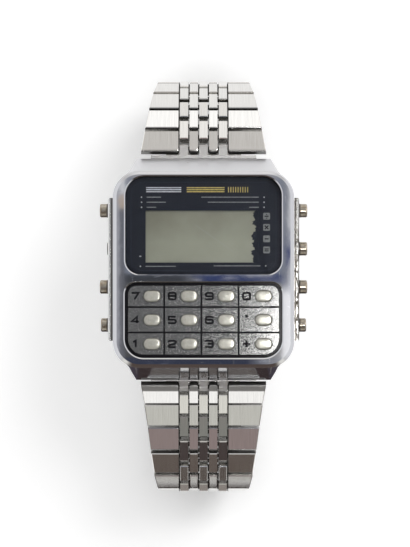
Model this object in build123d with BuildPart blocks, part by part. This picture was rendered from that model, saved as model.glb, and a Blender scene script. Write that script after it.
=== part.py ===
from build123d import *

import os
from math import cos, radians, sin

# A calculator wristwatch on a folded steel bracelet, closed and resting on its clasp.
# Millimetres. X points to 3 o'clock, Y to 12 o'clock and Z out of the dial.
# The origin is on the resting surface, straight below the middle of the dial.

# Case, seen from above: the facets run down from the bezel to the lug edges
body_width = 34.0
facet_run = 2.4
corner_run_x = 4.3
corner_run_y = 7.15
bezel_corner_radius = 5.0
bezel_bevel_width = 0.7
bezel_bevel_height = 0.4
opening_bevel = 0.2

# Rims of the bezel round the display and the keypad, and the bar between them
side_rim = 2.3
keypad_side_rim = 2.2
top_rim = 1.05
middle_bar = 1.54
bottom_rim = 1.85

# Case heights, measured up from the outer face of the back
case_thickness = 9.0
lug_edge_height = 4.4
bezel_band_height = 0.6
front_wall = 2.8

# Button bars along both sides of the case
side_bar_depth = 1.0
side_bar_end_gap = 0.3
side_bar_bottom = 1.6
side_bar_drop = 1.8
side_bar_bevel = 0.25
side_groove_width = 0.3
side_groove_depth = 0.5

# Walls round the room inside the case
side_wall = 2.8
end_wall = 3.7
cavity_corner_radius = 6.0

# Crystal, printed mask and its seat; the window's size and place are shares of the crystal's
crystal_length = 18.26
crystal_thickness = 1.7
crystal_sink = 0.3
crystal_top_radius = 3.6
crystal_bottom_radius = 2.6
crystal_edge_bevel = 0.3
seat_clearance = 0.05
mask_thickness = 0.3
display_ledge_width = 1.2
window_width_share = 0.7235
window_length_share = 0.535
window_offset_x_share = -0.0102
window_offset_y_share = -0.116

# Liquid crystal cell and its two rubber connector strips
cell_side_inset = 0.2
cell_end_gap = 0.06
cell_face_gap = 0.05
cell_polariser_inset = 0.7
cell_polariser_thickness = 0.15
connector_end_inset = 2.2
connector_depth = 1.0
connector_inset = 0.7

# Keypad opening and the plate that the keys stand in; its lines lie at shares of the opening
keypad_length = 14.2
keypad_top_radius = 2.2
keypad_bottom_radius = 3.6
keypad_ledge_width = 0.8
plate_sink = 0.8
plate_thickness = 1.2
plate_border_thickness = 0.8
plate_border_width = 0.65
plate_line_width = 0.25
plate_line_depth = 0.12
plate_line_pitch_x_share = 0.2358
plate_line_pitch_y_share = 0.336
plate_line_offset_x_share = -0.0135
plate_line_offset_y_share = 0.005

# Keys, at shares of the keypad opening; each key's size is a share of its pitch
key_pitch_x_share = 0.2358
key_pitch_y_share = 0.3162
key_offset_x_share = 0.0275
key_offset_y_share = 0.002
key_length_share = 0.4585
key_width_share = 0.4677
key_proud = 0.5
key_edge_radius = 0.3
key_clearance = 0.1
key_flange_width = 0.4
key_flange_thickness = 0.5
key_rows = (("7", "8", "9", "0"), ("4", "5", "6", "point"), ("1", "2", "3", "plus"))

# Rubber key membrane
membrane_side_inset = 0.4
membrane_end_inset = 0.9
membrane_thickness = 0.6
dome_end_inset = 0.65
dome_side_inset = 0.33
dome_gap = 0.03

# Pushers at the sides, at shares of the button bar
pusher_head_radius = 1.3
pusher_stem_radius = 0.6
pusher_stem_clearance = 0.05
pusher_head_clearance = 0.1
pusher_rows = 4
pusher_pitch_share = 0.2677
pusher_offset_share = 0.0104
pusher_proud = 1.6
pusher_low_proud = 1.4
pusher_flush_proud = 0.2
pusher_bore_depth = 2.8
pusher_head_depth = 1.8
pusher_stem_reach = 1.0
pusher_edge_radius = 0.3
pusher_clip_radius = 1.0
pusher_clip_thickness = 0.25
pusher_clip_gap = 0.05
pusher_spring_wall = 0.3
pusher_spring_gap = 0.04

# Case back, gasket and screws
back_side_inset = 0.8
back_end_inset = 2.3
back_thickness = 0.8
back_corner_radius = 6.0
back_edge_bevel = 0.2
gasket_inset = 0.25
gasket_width = 0.5
gasket_thickness = 0.45
gasket_clearance = 0.02
screw_inset_x = 2.7
screw_inset_y = 2.0
screw_head_radius = 0.8
screw_head_height = 0.45
screw_shank_radius = 0.5
screw_length = 2.6
screw_clearance = 0.03
screw_slot_width = 0.25
screw_slot_depth = 0.2

# Module inside the case; its levels are shares of the height of the room
module_side_gap = 1.8
module_end_gap = 0.5
module_corner_radius = 4.0
module_floor_gap = 0.4
module_rim_share = 0.8333
module_wall = 0.5
board_share = 0.537
board_thickness = 0.6
board_clearance = 0.1
battery_side_wall = 2.4
battery_end_wall = 0.7
battery_thickness_share = 0.2963
battery_floor_gap = 0.5
battery_rim_inset = 1.2
battery_rim_share = 0.19
battery_clearance = 0.1
clip_strap_width = 4.0
clip_thickness = 0.25
clip_leg_gap = 0.3
chip_width = 7.0
chip_thickness = 0.8
chip_bevel = 0.2
chip_offset_x = 3.0
chip_offset_y = 0.5
chip_clearance = 0.3
buzzer_radius = 6.5
buzzer_thickness = 0.2
buzzer_offset_x = -3.0
buzzer_end_gap = 1.5

# Slots at both ends of the case, and the spring bars in them
slot_side_wall = 2.5
slot_depth = 1.9
slot_roof = 0.5
spring_bar_inset = 0.95
spring_bar_height = 2.35
spring_bar_radius = 0.6
spring_bar_tip_radius = 0.4
spring_bar_tip_length = 0.8
spring_bar_clearance = 0.05
spring_bar_end_gap = 0.1
end_piece_barrel_radius = 0.88
end_piece_side_gap = 0.2
end_piece_web = 0.9
end_piece_gap = 0.08
end_piece_drop = 0.2
finger_root_radius = 0.35

# Bracelet: seven columns across, five narrow ones between two outer plates
half_pitch = 2.43
column_pitch = 1.86
column_gap = 0.24
narrow_column_count = 5
link_thickness = 1.7
link_gap = 0.48
bridge_gap = 0.78
link_bevel = 0.16
link_underside_bevel = 0.35
link_root_radius = 0.5
bracelet_inset = 0.85
clasp_end_width = 15.0
pin_radius = 0.4
pin_press_gap = 0.01
hinge_clearance = 0.05
pin_recess = 0.35
lug_pin_height = 3.0

# Where the two halves leave the case, their taper and how far they lean at rest.
# The angles are degrees below level, link by link: a link, its bridge, the next link.
pin_reach_12h = 2.0
pin_reach_6h = 1.4
bar_reach_12h = 0.7
bar_reach_6h = 0.2
taper_12h = 1.45
taper_6h = 1.2
angles_12h = (24, 30, 37, 43, 49, 56, 64, 74, 85, 96, 106, 116, 127, 138, 149, 160, 170, 178)
angles_6h = (36, 26, 24, 15, 13, 18, 29, 42, 55, 67, 79, 90, 101, 112, 123, 134, 144, 154, 164, 173,
             178, 180)

# Clasp
clasp_pin_height = 2.3
frame_plate_thickness = 0.8
frame_wall = 0.8
frame_wall_gap = 0.2
frame_wall_end_gap = 1.0
frame_end_setback = 1.5
frame_slot_width = 6.0
frame_slot_length = 1.0
frame_slot_pitch = 2.2
frame_slot_count = 3
frame_slot_setback = 2.6
flap_length = 30.0
flap_thickness = 0.7
flap_wall = 0.6
flap_side_gap = 0.1
flap_top_gap = 0.15
flap_setback = 11.4
flap_ear_radius = 0.65
flap_ear_gap = 0.05
flap_root_gap = 0.1
flap_lip = 0.7
flap_lip_wall = 0.35
flap_edge_bevel = 0.15
flap_edge_radius = 0.3

# The cosine above which a face counts as square on, and the overrun of every through cut
square_on = 0.9999
overrun = 1.0

os.makedirs("parts", exist_ok=True)


def save(part, name):
    """Label a finished piece and write it under its own name."""
    part.label = name
    export_step(part, f"parts/{name}.step")


def chain_pins(first_pin, tilts, side):
    """Pin places (y, z) from the case outwards; side is 1 at 12 o'clock and -1 at 6."""
    pins = [first_pin]
    for tilt in tilts:
        y, z = pins[-1]
        pins.append((y + side * half_pitch * cos(radians(tilt)), z - half_pitch * sin(radians(tilt))))
    return pins


def mid_point(first, second):
    """The point half way between two (y, z) places."""
    return (first[0] + second[0]) / 2, (first[1] + second[1]) / 2


def side_plane(y, z):
    """A plane square to X through a (y, z) place, with its own x along Y and y along Z."""
    return Plane(origin=(0, y, z), x_dir=(0, 1, 0), z_dir=(1, 0, 0))


def face_plane(y, z, tilt, side):
    """A plane along a link that leans by tilt, with its normal away from the wrist."""
    lean = radians(tilt)
    return Plane(origin=(0, y, z), x_dir=(1, 0, 0), z_dir=(0, side * sin(lean), cos(lean)))


# Plan of the case, worked out from the sizes above
crystal_width = body_width - 2 * (side_rim + seat_clearance)
seat_length = crystal_length + 2 * seat_clearance
keypad_width = body_width - 2 * keypad_side_rim
bezel_length = top_rim + seat_length + middle_bar + keypad_length + bottom_rim
lug_to_lug = bezel_length + 2 * facet_run
lug_y = lug_to_lug / 2
lug_edge_width = body_width - 2 * corner_run_x
straight_side_length = lug_to_lug - 2 * corner_run_y
side_bar_length = straight_side_length - 2 * side_bar_end_gap
case_side_x = body_width / 2 + side_bar_depth
cavity_width = body_width - 2 * side_wall
cavity_length = lug_to_lug - 2 * end_wall
crystal_centre_y = bezel_length / 2 - top_rim - seat_length / 2
display_hole_bottom_y = crystal_centre_y - seat_length / 2 + display_ledge_width + seat_clearance
keypad_centre_y = -bezel_length / 2 + bottom_rim + keypad_length / 2
window_width = window_width_share * crystal_width
window_length = window_length_share * crystal_length
window_centre_x = window_offset_x_share * crystal_width
window_centre_y = crystal_centre_y + window_offset_y_share * crystal_length
back_width = body_width - 2 * back_side_inset
back_length = lug_to_lug - 2 * back_end_inset
screw_x = back_width / 2 - screw_inset_x
screw_y = back_length / 2 - screw_inset_y
slot_width = lug_edge_width - 2 * slot_side_wall
spring_bar_y = lug_y - spring_bar_inset
bore_floor_x = case_side_x - pusher_bore_depth
pusher_ys = [
    side_bar_length * (pusher_offset_share + ((pusher_rows - 1) / 2 - row) * pusher_pitch_share)
    for row in range(pusher_rows)
]

# Plan of the keypad and the module
key_pitch_x = key_pitch_x_share * keypad_width
key_pitch_y = key_pitch_y_share * keypad_length
key_length = key_length_share * key_pitch_x
key_width = key_width_share * key_pitch_y
key_places = {
    name: (
        key_offset_x_share * keypad_width + (column - (len(names) - 1) / 2) * key_pitch_x,
        keypad_centre_y + key_offset_y_share * keypad_length
        + ((len(key_rows) - 1) / 2 - row) * key_pitch_y,
    )
    for row, names in enumerate(key_rows)
    for column, name in enumerate(names)
}
module_width = cavity_width - 2 * module_side_gap
module_length = cavity_length - 2 * module_end_gap
cell_width = module_width - 2 * cell_side_inset
cell_length = 2 * (window_centre_y - display_hole_bottom_y - cell_end_gap)
membrane_width = module_width - 2 * membrane_side_inset
membrane_length = keypad_length - 2 * membrane_end_inset
battery_radius = module_width / 2 - battery_side_wall
battery_centre_y = module_length / 2 - battery_radius - battery_end_wall
clip_leg_x = battery_radius + clip_leg_gap
chip_centre_y = keypad_centre_y + chip_offset_y
buzzer_centre_y = buzzer_radius + buzzer_end_gap - cavity_length / 2

# Heights: the case is carried by the 12 o'clock half of the bracelet, up from the clasp pin
pin_drop = sum(half_pitch * sin(radians(angle)) for angle in angles_12h)
lug_pin_z = clasp_pin_height + pin_drop
back_z = lug_pin_z - lug_pin_height
top_z = back_z + case_thickness
bezel_z = top_z - bezel_band_height
inner_back_z = back_z + back_thickness
cavity_top_z = top_z - front_wall
lug_edge_z = back_z + lug_edge_height
slot_top_z = lug_edge_z - slot_roof
side_bar_bottom_z = back_z + side_bar_bottom
side_bar_top_z = top_z - side_bar_drop
pusher_z = (side_bar_bottom_z + side_bar_top_z) / 2
crystal_top_z = top_z - crystal_sink
crystal_z = crystal_top_z - crystal_thickness
display_ledge_z = crystal_z - mask_thickness
plate_top_z = top_z - plate_sink
keypad_ledge_z = plate_top_z - plate_thickness
key_bottom_z = keypad_ledge_z - key_flange_thickness
room_height = cavity_top_z - inner_back_z
module_z = inner_back_z + module_floor_gap
module_top_z = inner_back_z + module_rim_share * room_height
board_z = inner_back_z + board_share * room_height
board_top_z = board_z + board_thickness
battery_z = inner_back_z + battery_floor_gap
battery_thickness = battery_thickness_share * room_height
battery_rim_height = battery_rim_share * battery_thickness
cell_thickness = display_ledge_z - module_top_z - cell_face_gap
spring_bar_z = back_z + spring_bar_height

# Bracelet and clasp
bracelet_width = lug_edge_width - 2 * bracelet_inset
narrow_width = column_pitch - column_gap
outer_plate_x = narrow_column_count * column_pitch / 2
link_columns = (-column_pitch, column_pitch)
bridge_columns = (-2 * column_pitch, 0, 2 * column_pitch)
link_overhang = (half_pitch - link_gap) / 2
bridge_overhang = (half_pitch - bridge_gap) / 2
pins_12h = chain_pins((lug_y + pin_reach_12h, lug_pin_z), angles_12h, 1)
pins_6h = chain_pins((-lug_y - pin_reach_6h, lug_pin_z), angles_6h, -1)
ends = (
    (1, pins_12h[0], bar_reach_12h, angles_12h[0]), (-1, pins_6h[0], bar_reach_6h, angles_6h[0])
)
hinge_pin = (pins_12h[-1][0], clasp_pin_height)
open_end = (pins_6h[-1][0], clasp_pin_height)
frame_half = clasp_end_width / 2
plate_z = clasp_pin_height + link_thickness / 2 - frame_plate_thickness
plate_near_y = hinge_pin[0] - frame_end_setback
plate_far_y = open_end[0] + frame_end_setback
frame_wall_z = flap_thickness + frame_wall_gap
flap_pin = (hinge_pin[0] - flap_setback, flap_thickness + flap_ear_radius + flap_ear_gap)
flap_end_y = flap_pin[0] - flap_length
flap_wall_top = plate_z - flap_top_gap
flap_half = frame_half + flap_side_gap + flap_wall

# Case body: an octagonal block whose ends slope up to a rounded bezel
with BuildPart() as case_body:
    with BuildSketch(Plane.XY.offset(inner_back_z)) as block:
        with BuildLine():
            Polyline(
                (lug_edge_width / 2, lug_y), (body_width / 2, straight_side_length / 2),
                (body_width / 2, -straight_side_length / 2), (lug_edge_width / 2, -lug_y),
                (-lug_edge_width / 2, -lug_y), (-body_width / 2, -straight_side_length / 2),
                (-body_width / 2, straight_side_length / 2), (-lug_edge_width / 2, lug_y),
                close=True,
            )
        make_face()
    extrude(amount=lug_edge_z - inner_back_z)
    # the sloping facets
    with BuildSketch(Plane.XY.offset(lug_edge_z)):
        add(block.sketch_local)
    with BuildSketch(Plane.XY.offset(bezel_z)):
        with BuildLine():
            flat_x = body_width / 2 - bezel_corner_radius
            flat_y = bezel_length / 2 - bezel_corner_radius
            right = Line((body_width / 2, flat_y), (body_width / 2, -flat_y))
            RadiusArc(right @ 1, (flat_x, -bezel_length / 2), bezel_corner_radius)
            Line((flat_x, -bezel_length / 2), (-flat_x, -bezel_length / 2))
            RadiusArc((-flat_x, -bezel_length / 2), (-body_width / 2, -flat_y), bezel_corner_radius)
            Line((-body_width / 2, -flat_y), (-body_width / 2, flat_y))
            RadiusArc((-body_width / 2, flat_y), (-flat_x, bezel_length / 2), bezel_corner_radius)
            Line((-flat_x, bezel_length / 2), (flat_x, bezel_length / 2))
            RadiusArc((flat_x, bezel_length / 2), right @ 0, bezel_corner_radius)
        make_face()
    loft(ruled=True)
    # the bezel band on top, with its bevel
    with BuildSketch(Plane.XY.offset(bezel_z)):
        RectangleRounded(body_width, bezel_length, bezel_corner_radius)
    extrude(amount=bezel_band_height)
    top = case_body.faces().sort_by(Axis.Z)[-1]
    chamfer(top.edges(), bezel_bevel_width, bezel_bevel_height, reference=top)
    # the button bars, each with a groove along the bezel
    for side in (-1, 1):
        with BuildSketch(Plane.XY.offset(side_bar_bottom_z)):
            with Locations((side * (case_side_x - side_bar_depth), 0)):
                Rectangle(2 * side_bar_depth, side_bar_length)
        extrude(amount=side_bar_top_z - side_bar_bottom_z)
        outer = case_body.faces().sort_by(Axis.X)[-1 if side > 0 else 0]
        chamfer(outer.edges(), side_bar_bevel)
        with BuildSketch(Plane.XY.offset(side_bar_top_z)):
            with Locations((side * (body_width + side_groove_width) / 2, 0)):
                Rectangle(side_groove_width, side_bar_length)
        extrude(amount=-side_groove_depth, mode=Mode.SUBTRACT)
    # the room for the module
    with BuildSketch(Plane.XY.offset(inner_back_z)):
        RectangleRounded(cavity_width, cavity_length, cavity_corner_radius)
    extrude(amount=cavity_top_z - inner_back_z, mode=Mode.SUBTRACT)
    # the seat of the mask and the crystal, and the hole in its floor
    for shrink, floor_z in ((-seat_clearance, display_ledge_z), (display_ledge_width, cavity_top_z)):
        with BuildSketch(Plane.XY.offset(floor_z)) as seat:
            with Locations((0, crystal_centre_y)):
                Rectangle(crystal_width - 2 * shrink, crystal_length - 2 * shrink)
            fillet(seat.vertices().group_by(Axis.Y)[-1], crystal_top_radius - shrink)
            fillet(seat.vertices().group_by(Axis.Y)[0], crystal_bottom_radius - shrink)
        extrude(amount=top_z - floor_z, mode=Mode.SUBTRACT)
    # the seat of the keypad plate, and the hole in its floor
    for shrink, floor_z in ((0, keypad_ledge_z), (keypad_ledge_width, cavity_top_z)):
        with BuildSketch(Plane.XY.offset(floor_z)) as seat:
            with Locations((0, keypad_centre_y)):
                Rectangle(keypad_width - 2 * shrink, keypad_length - 2 * shrink)
            fillet(seat.vertices().group_by(Axis.Y)[-1], keypad_top_radius - shrink)
            fillet(seat.vertices().group_by(Axis.Y)[0], keypad_bottom_radius - shrink)
        extrude(amount=top_z - floor_z, mode=Mode.SUBTRACT)
    openings = case_body.faces().sort_by(Axis.Z)[-1].inner_wires()
    chamfer(openings.edges(), opening_bevel)
    # stepped bores for the pushers
    for side in (-1, 1):
        for y in pusher_ys:
            with BuildSketch(side_plane(y, pusher_z).offset(side * bore_floor_x)):
                Circle(pusher_head_radius + pusher_head_clearance)
            extrude(amount=side * (pusher_bore_depth + overrun), mode=Mode.SUBTRACT)
            with BuildSketch(side_plane(y, pusher_z).offset(side * bore_floor_x)):
                Circle(pusher_stem_radius + pusher_stem_clearance)
            extrude(amount=-side * (bore_floor_x - cavity_width / 2 + overrun), mode=Mode.SUBTRACT)
    # the slots for the end pieces, with holes for the tips of the spring bars
    for side in (-1, 1):
        with BuildSketch(Plane.XY.offset(inner_back_z)):
            with Locations((0, side * (lug_y + (overrun - slot_depth) / 2))):
                Rectangle(slot_width, slot_depth + overrun)
        extrude(amount=slot_top_z - inner_back_z, mode=Mode.SUBTRACT)
        with BuildSketch(side_plane(side * spring_bar_y, spring_bar_z)):
            Circle(spring_bar_tip_radius + spring_bar_clearance)
        extrude(amount=slot_width / 2 + spring_bar_tip_length, both=True, mode=Mode.SUBTRACT)
    # the gasket groove and the screw holes
    with BuildSketch(Plane.XY.offset(inner_back_z)):
        outer_inset = gasket_inset + gasket_width + gasket_clearance
        inner_inset = gasket_inset - gasket_clearance
        RectangleRounded(
            cavity_width + 2 * outer_inset, cavity_length + 2 * outer_inset,
            cavity_corner_radius + outer_inset,
        )
        RectangleRounded(
            cavity_width + 2 * inner_inset, cavity_length + 2 * inner_inset,
            cavity_corner_radius + inner_inset, mode=Mode.SUBTRACT,
        )
    extrude(amount=gasket_thickness, mode=Mode.SUBTRACT)
    with BuildSketch(Plane.XY.offset(inner_back_z)):
        with GridLocations(2 * screw_x, 2 * screw_y, 2, 2):
            Circle(screw_shank_radius + screw_clearance)
    extrude(amount=screw_length - back_thickness + screw_clearance, mode=Mode.SUBTRACT)
save(case_body.part, "case_body")

# Case back, with a recess and a hole for each screw
with BuildPart() as case_back:
    with BuildSketch(Plane.XY.offset(back_z)):
        RectangleRounded(back_width, back_length, back_corner_radius)
    extrude(amount=back_thickness)
    chamfer(case_back.faces().sort_by(Axis.Z)[0].edges(), back_edge_bevel)
    with BuildSketch(Plane.XY.offset(back_z)):
        with GridLocations(2 * screw_x, 2 * screw_y, 2, 2):
            Circle(screw_head_radius + screw_clearance)
    extrude(amount=screw_head_height, mode=Mode.SUBTRACT)
    with BuildSketch(Plane.XY.offset(back_z)):
        with GridLocations(2 * screw_x, 2 * screw_y, 2, 2):
            Circle(screw_shank_radius + screw_clearance)
    extrude(amount=back_thickness, mode=Mode.SUBTRACT)
save(case_back.part, "case_back")

with BuildPart() as case_back_screws:
    with BuildSketch(Plane.XY.offset(back_z)):
        with GridLocations(2 * screw_x, 2 * screw_y, 2, 2):
            Circle(screw_head_radius)
    extrude(amount=screw_head_height)
    with BuildSketch(Plane.XY.offset(back_z)):
        with GridLocations(2 * screw_x, 2 * screw_y, 2, 2):
            Circle(screw_shank_radius)
    extrude(amount=screw_length)
    with BuildSketch(Plane.XY.offset(back_z)):
        with GridLocations(2 * screw_x, 2 * screw_y, 2, 2):
            Rectangle(2 * screw_head_radius, screw_slot_width)
            Rectangle(screw_slot_width, 2 * screw_head_radius)
    extrude(amount=screw_slot_depth, mode=Mode.SUBTRACT)
save(case_back_screws.part, "case_back_screws")

with BuildPart() as case_back_gasket:
    with BuildSketch(Plane.XY.offset(inner_back_z)):
        outer_inset = gasket_inset + gasket_width
        RectangleRounded(
            cavity_width + 2 * outer_inset, cavity_length + 2 * outer_inset,
            cavity_corner_radius + outer_inset,
        )
        RectangleRounded(
            cavity_width + 2 * gasket_inset, cavity_length + 2 * gasket_inset,
            cavity_corner_radius + gasket_inset, mode=Mode.SUBTRACT,
        )
    extrude(amount=gasket_thickness)
save(case_back_gasket.part, "case_back_gasket")

# Crystal and the printed mask behind it
with BuildPart() as crystal:
    with BuildSketch(Plane.XY.offset(crystal_z)) as pane:
        with Locations((0, crystal_centre_y)):
            Rectangle(crystal_width, crystal_length)
        fillet(pane.vertices().group_by(Axis.Y)[-1], crystal_top_radius)
        fillet(pane.vertices().group_by(Axis.Y)[0], crystal_bottom_radius)
    extrude(amount=crystal_thickness)
    chamfer(crystal.faces().sort_by(Axis.Z)[-1].edges(), crystal_edge_bevel)
save(crystal.part, "crystal")

with BuildPart() as display_mask:
    with BuildSketch(Plane.XY.offset(display_ledge_z)):
        add(pane.sketch_local)
        with Locations((window_centre_x, window_centre_y)):
            Rectangle(window_width, window_length, mode=Mode.SUBTRACT)
    extrude(amount=mask_thickness)
save(display_mask.part, "display_mask")

# Liquid crystal cell: a glass sandwich with a polariser, standing on two rubber strips
with BuildPart() as lcd_cell:
    with BuildSketch(Plane.XY.offset(module_top_z)):
        with Locations((0, window_centre_y)):
            Rectangle(cell_width, cell_length)
    extrude(amount=cell_thickness - cell_polariser_thickness)
    with BuildSketch(Plane.XY.offset(module_top_z + cell_thickness - cell_polariser_thickness)):
        with Locations((0, window_centre_y)):
            Rectangle(cell_width - 2 * cell_polariser_inset, cell_length - 2 * cell_polariser_inset)
    extrude(amount=cell_polariser_thickness)
    for side in (-1, 1):
        strip_y = window_centre_y + side * (cell_length / 2 - connector_inset - connector_depth / 2)
        with BuildSketch(Plane.XY.offset(board_top_z + seat_clearance)):
            with Locations((0, strip_y)):
                Rectangle(cell_width - 2 * connector_end_inset, connector_depth)
        extrude(amount=module_top_z - board_top_z - 2 * seat_clearance)
save(lcd_cell.part, "lcd_cell")

# Module frame: a moulded tray, with pockets for battery, clip and chip from the back
with BuildPart() as module_frame:
    with BuildSketch(Plane.XY.offset(module_z)):
        RectangleRounded(module_width, module_length, module_corner_radius)
    extrude(amount=module_top_z - module_z)
    with BuildSketch(Plane.XY.offset(board_z)):
        RectangleRounded(
            module_width - 2 * module_wall, module_length - 2 * module_wall,
            module_corner_radius - module_wall,
        )
    extrude(amount=module_top_z - board_z, mode=Mode.SUBTRACT)
    # the rim is cut down under the keypad
    rim_end_y = crystal_centre_y - seat_length / 2
    rim_cut_length = module_length / 2 + rim_end_y
    with BuildSketch(Plane.XY.offset(board_top_z)):
        with Locations((0, rim_end_y - rim_cut_length / 2)):
            Rectangle(module_width, rim_cut_length)
    extrude(amount=module_top_z - board_top_z, mode=Mode.SUBTRACT)
    with BuildSketch(Plane.XY.offset(module_z)):
        with Locations((0, battery_centre_y)):
            Circle(battery_radius + battery_clearance)
    extrude(amount=battery_z - module_z + battery_thickness, mode=Mode.SUBTRACT)
    with BuildSketch(Plane.XY.offset(module_z)):
        with Locations((0, battery_centre_y)):
            slot_across = 2 * (clip_leg_x + clip_thickness + battery_clearance)
            Rectangle(slot_across, clip_strap_width + 2 * battery_clearance)
        with Locations((0, battery_centre_y)):
            Circle(battery_radius, mode=Mode.SUBTRACT)
    extrude(amount=board_z - module_z, mode=Mode.SUBTRACT)
    with BuildSketch(Plane.XY.offset(board_z)):
        with Locations((chip_offset_x, chip_centre_y)):
            Rectangle(chip_width + 2 * chip_clearance, chip_width + 2 * chip_clearance)
    extrude(amount=-(chip_thickness + chip_clearance), mode=Mode.SUBTRACT)
save(module_frame.part, "module_frame")

with BuildPart() as circuit_board:
    with BuildSketch(Plane.XY.offset(board_z)):
        edge = module_wall + board_clearance
        RectangleRounded(module_width - 2 * edge, module_length - 2 * edge, module_corner_radius - edge)
    extrude(amount=board_thickness)
save(circuit_board.part, "circuit_board")

with BuildPart() as processor_chip:
    with BuildSketch(Plane.XY.offset(board_z)):
        with Locations((chip_offset_x, chip_centre_y)):
            Rectangle(chip_width, chip_width)
    extrude(amount=-chip_thickness)
    chamfer(processor_chip.faces().sort_by(Axis.Z)[0].edges(), chip_bevel)
save(processor_chip.part, "processor_chip")

with BuildPart() as battery_cell:
    with BuildSketch(Plane.XY.offset(battery_z)):
        with Locations((0, battery_centre_y)):
            Circle(battery_radius)
    extrude(amount=battery_thickness - battery_rim_height)
    with BuildSketch(Plane.XY.offset(battery_z + battery_thickness - battery_rim_height)):
        with Locations((0, battery_centre_y)):
            Circle(battery_radius - battery_rim_inset)
    extrude(amount=battery_rim_height)
save(battery_cell.part, "battery_cell")

# Battery clip: a strap across the cell with a leg down to the board at each end
with BuildPart() as battery_clip:
    with BuildSketch(Plane.XY.offset(battery_z)):
        with Locations((0, battery_centre_y)):
            Rectangle(2 * (clip_leg_x + clip_thickness), clip_strap_width)
    extrude(amount=-clip_thickness)
    for side in (-1, 1):
        with BuildSketch(Plane.XY.offset(battery_z)):
            with Locations((side * (clip_leg_x + clip_thickness / 2), battery_centre_y)):
                Rectangle(clip_thickness, clip_strap_width)
        extrude(amount=board_z - battery_z)
save(battery_clip.part, "battery_clip")

with BuildPart() as buzzer_disc:
    with BuildSketch(Plane.XY.offset(inner_back_z)):
        with Locations((buzzer_offset_x, buzzer_centre_y)):
            Circle(buzzer_radius)
    extrude(amount=buzzer_thickness)
save(buzzer_disc.part, "buzzer_disc")

# Keypad plate: a black border, a raised face with ruled lines, and a hole for each key
with BuildPart() as keypad_plate:
    with BuildSketch(Plane.XY.offset(keypad_ledge_z)) as border:
        with Locations((0, keypad_centre_y)):
            Rectangle(keypad_width - 2 * seat_clearance, keypad_length - 2 * seat_clearance)
        fillet(border.vertices().group_by(Axis.Y)[-1], keypad_top_radius - seat_clearance)
        fillet(border.vertices().group_by(Axis.Y)[0], keypad_bottom_radius - seat_clearance)
    extrude(amount=plate_border_thickness)
    with BuildSketch(Plane.XY.offset(keypad_ledge_z)) as raised:
        with Locations((0, keypad_centre_y)):
            Rectangle(keypad_width - 2 * plate_border_width, keypad_length - 2 * plate_border_width)
        fillet(raised.vertices().group_by(Axis.Y)[-1], keypad_top_radius - plate_border_width)
        fillet(raised.vertices().group_by(Axis.Y)[0], keypad_bottom_radius - plate_border_width)
    extrude(amount=plate_thickness)
    with BuildSketch(Plane.XY.offset(plate_top_z)):
        with Locations((plate_line_offset_x_share * keypad_width, keypad_centre_y)):
            with GridLocations(plate_line_pitch_x_share * keypad_width, keypad_length, 3, 1):
                Rectangle(plate_line_width, keypad_length)
        with Locations((0, keypad_centre_y + plate_line_offset_y_share * keypad_length)):
            with GridLocations(keypad_width, plate_line_pitch_y_share * keypad_length, 1, 2):
                Rectangle(keypad_width, plate_line_width)
    extrude(amount=-plate_line_depth, mode=Mode.SUBTRACT)
    with BuildSketch(Plane.XY.offset(plate_top_z)):
        with Locations(*key_places.values()):
            SlotOverall(key_length + 2 * key_clearance, key_width + 2 * key_clearance)
    extrude(amount=-plate_thickness, mode=Mode.SUBTRACT)
save(keypad_plate.part, "keypad_plate")

# Keys: an oval stem on a flange that stops under the plate
for name, place in key_places.items():
    with BuildPart() as key:
        with BuildSketch(Plane.XY.offset(key_bottom_z)):
            with Locations(place):
                SlotOverall(key_length, key_width)
        extrude(amount=plate_top_z + key_proud - key_bottom_z)
        fillet(key.faces().sort_by(Axis.Z)[-1].edges(), key_edge_radius)
        with BuildSketch(Plane.XY.offset(key_bottom_z)):
            with Locations(place):
                SlotOverall(key_length + 2 * key_flange_width, key_width + 2 * key_flange_width)
        extrude(amount=key_flange_thickness)
    save(key.part, f"key_{name}")

# Key membrane: one rubber sheet with a dome under each key
with BuildPart() as key_membrane:
    with BuildSketch(Plane.XY.offset(board_top_z)):
        with Locations((0, keypad_centre_y)):
            Rectangle(membrane_width, membrane_length)
    extrude(amount=membrane_thickness)
    with BuildSketch(Plane.XY.offset(board_top_z)):
        with Locations(*key_places.values()):
            SlotOverall(key_length - 2 * dome_end_inset, key_width - 2 * dome_side_inset)
    extrude(amount=key_bottom_z - dome_gap - board_top_z)
save(key_membrane.part, "key_membrane")

# Pushers, numbered from 12 o'clock down: a head in the bore, a stem and a retaining clip
for side, side_name in ((1, "right"), (-1, "left")):
    for row, y in enumerate(pusher_ys):
        proud = pusher_low_proud if row == pusher_rows - 1 else pusher_proud
        if side < 0 and row == 1:
            proud = pusher_flush_proud
        head_x = case_side_x - pusher_head_depth
        clip_x = cavity_width / 2 - pusher_clip_gap
        with BuildPart() as pusher:
            with BuildSketch(side_plane(y, pusher_z).offset(side * head_x)):
                Circle(pusher_head_radius)
            extrude(amount=side * (pusher_head_depth + proud))
            cap = pusher.faces().sort_by(Axis.X)[-1 if side > 0 else 0]
            fillet(cap.edges(), pusher_edge_radius)
            with BuildSketch(side_plane(y, pusher_z).offset(side * head_x)):
                Circle(pusher_stem_radius)
            extrude(amount=-side * (head_x - cavity_width / 2 + pusher_stem_reach))
            with BuildSketch(side_plane(y, pusher_z).offset(side * clip_x)):
                Circle(pusher_clip_radius)
            extrude(amount=-side * pusher_clip_thickness)
        save(pusher.part, f"pusher_{side_name}_{row + 1}")

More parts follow.
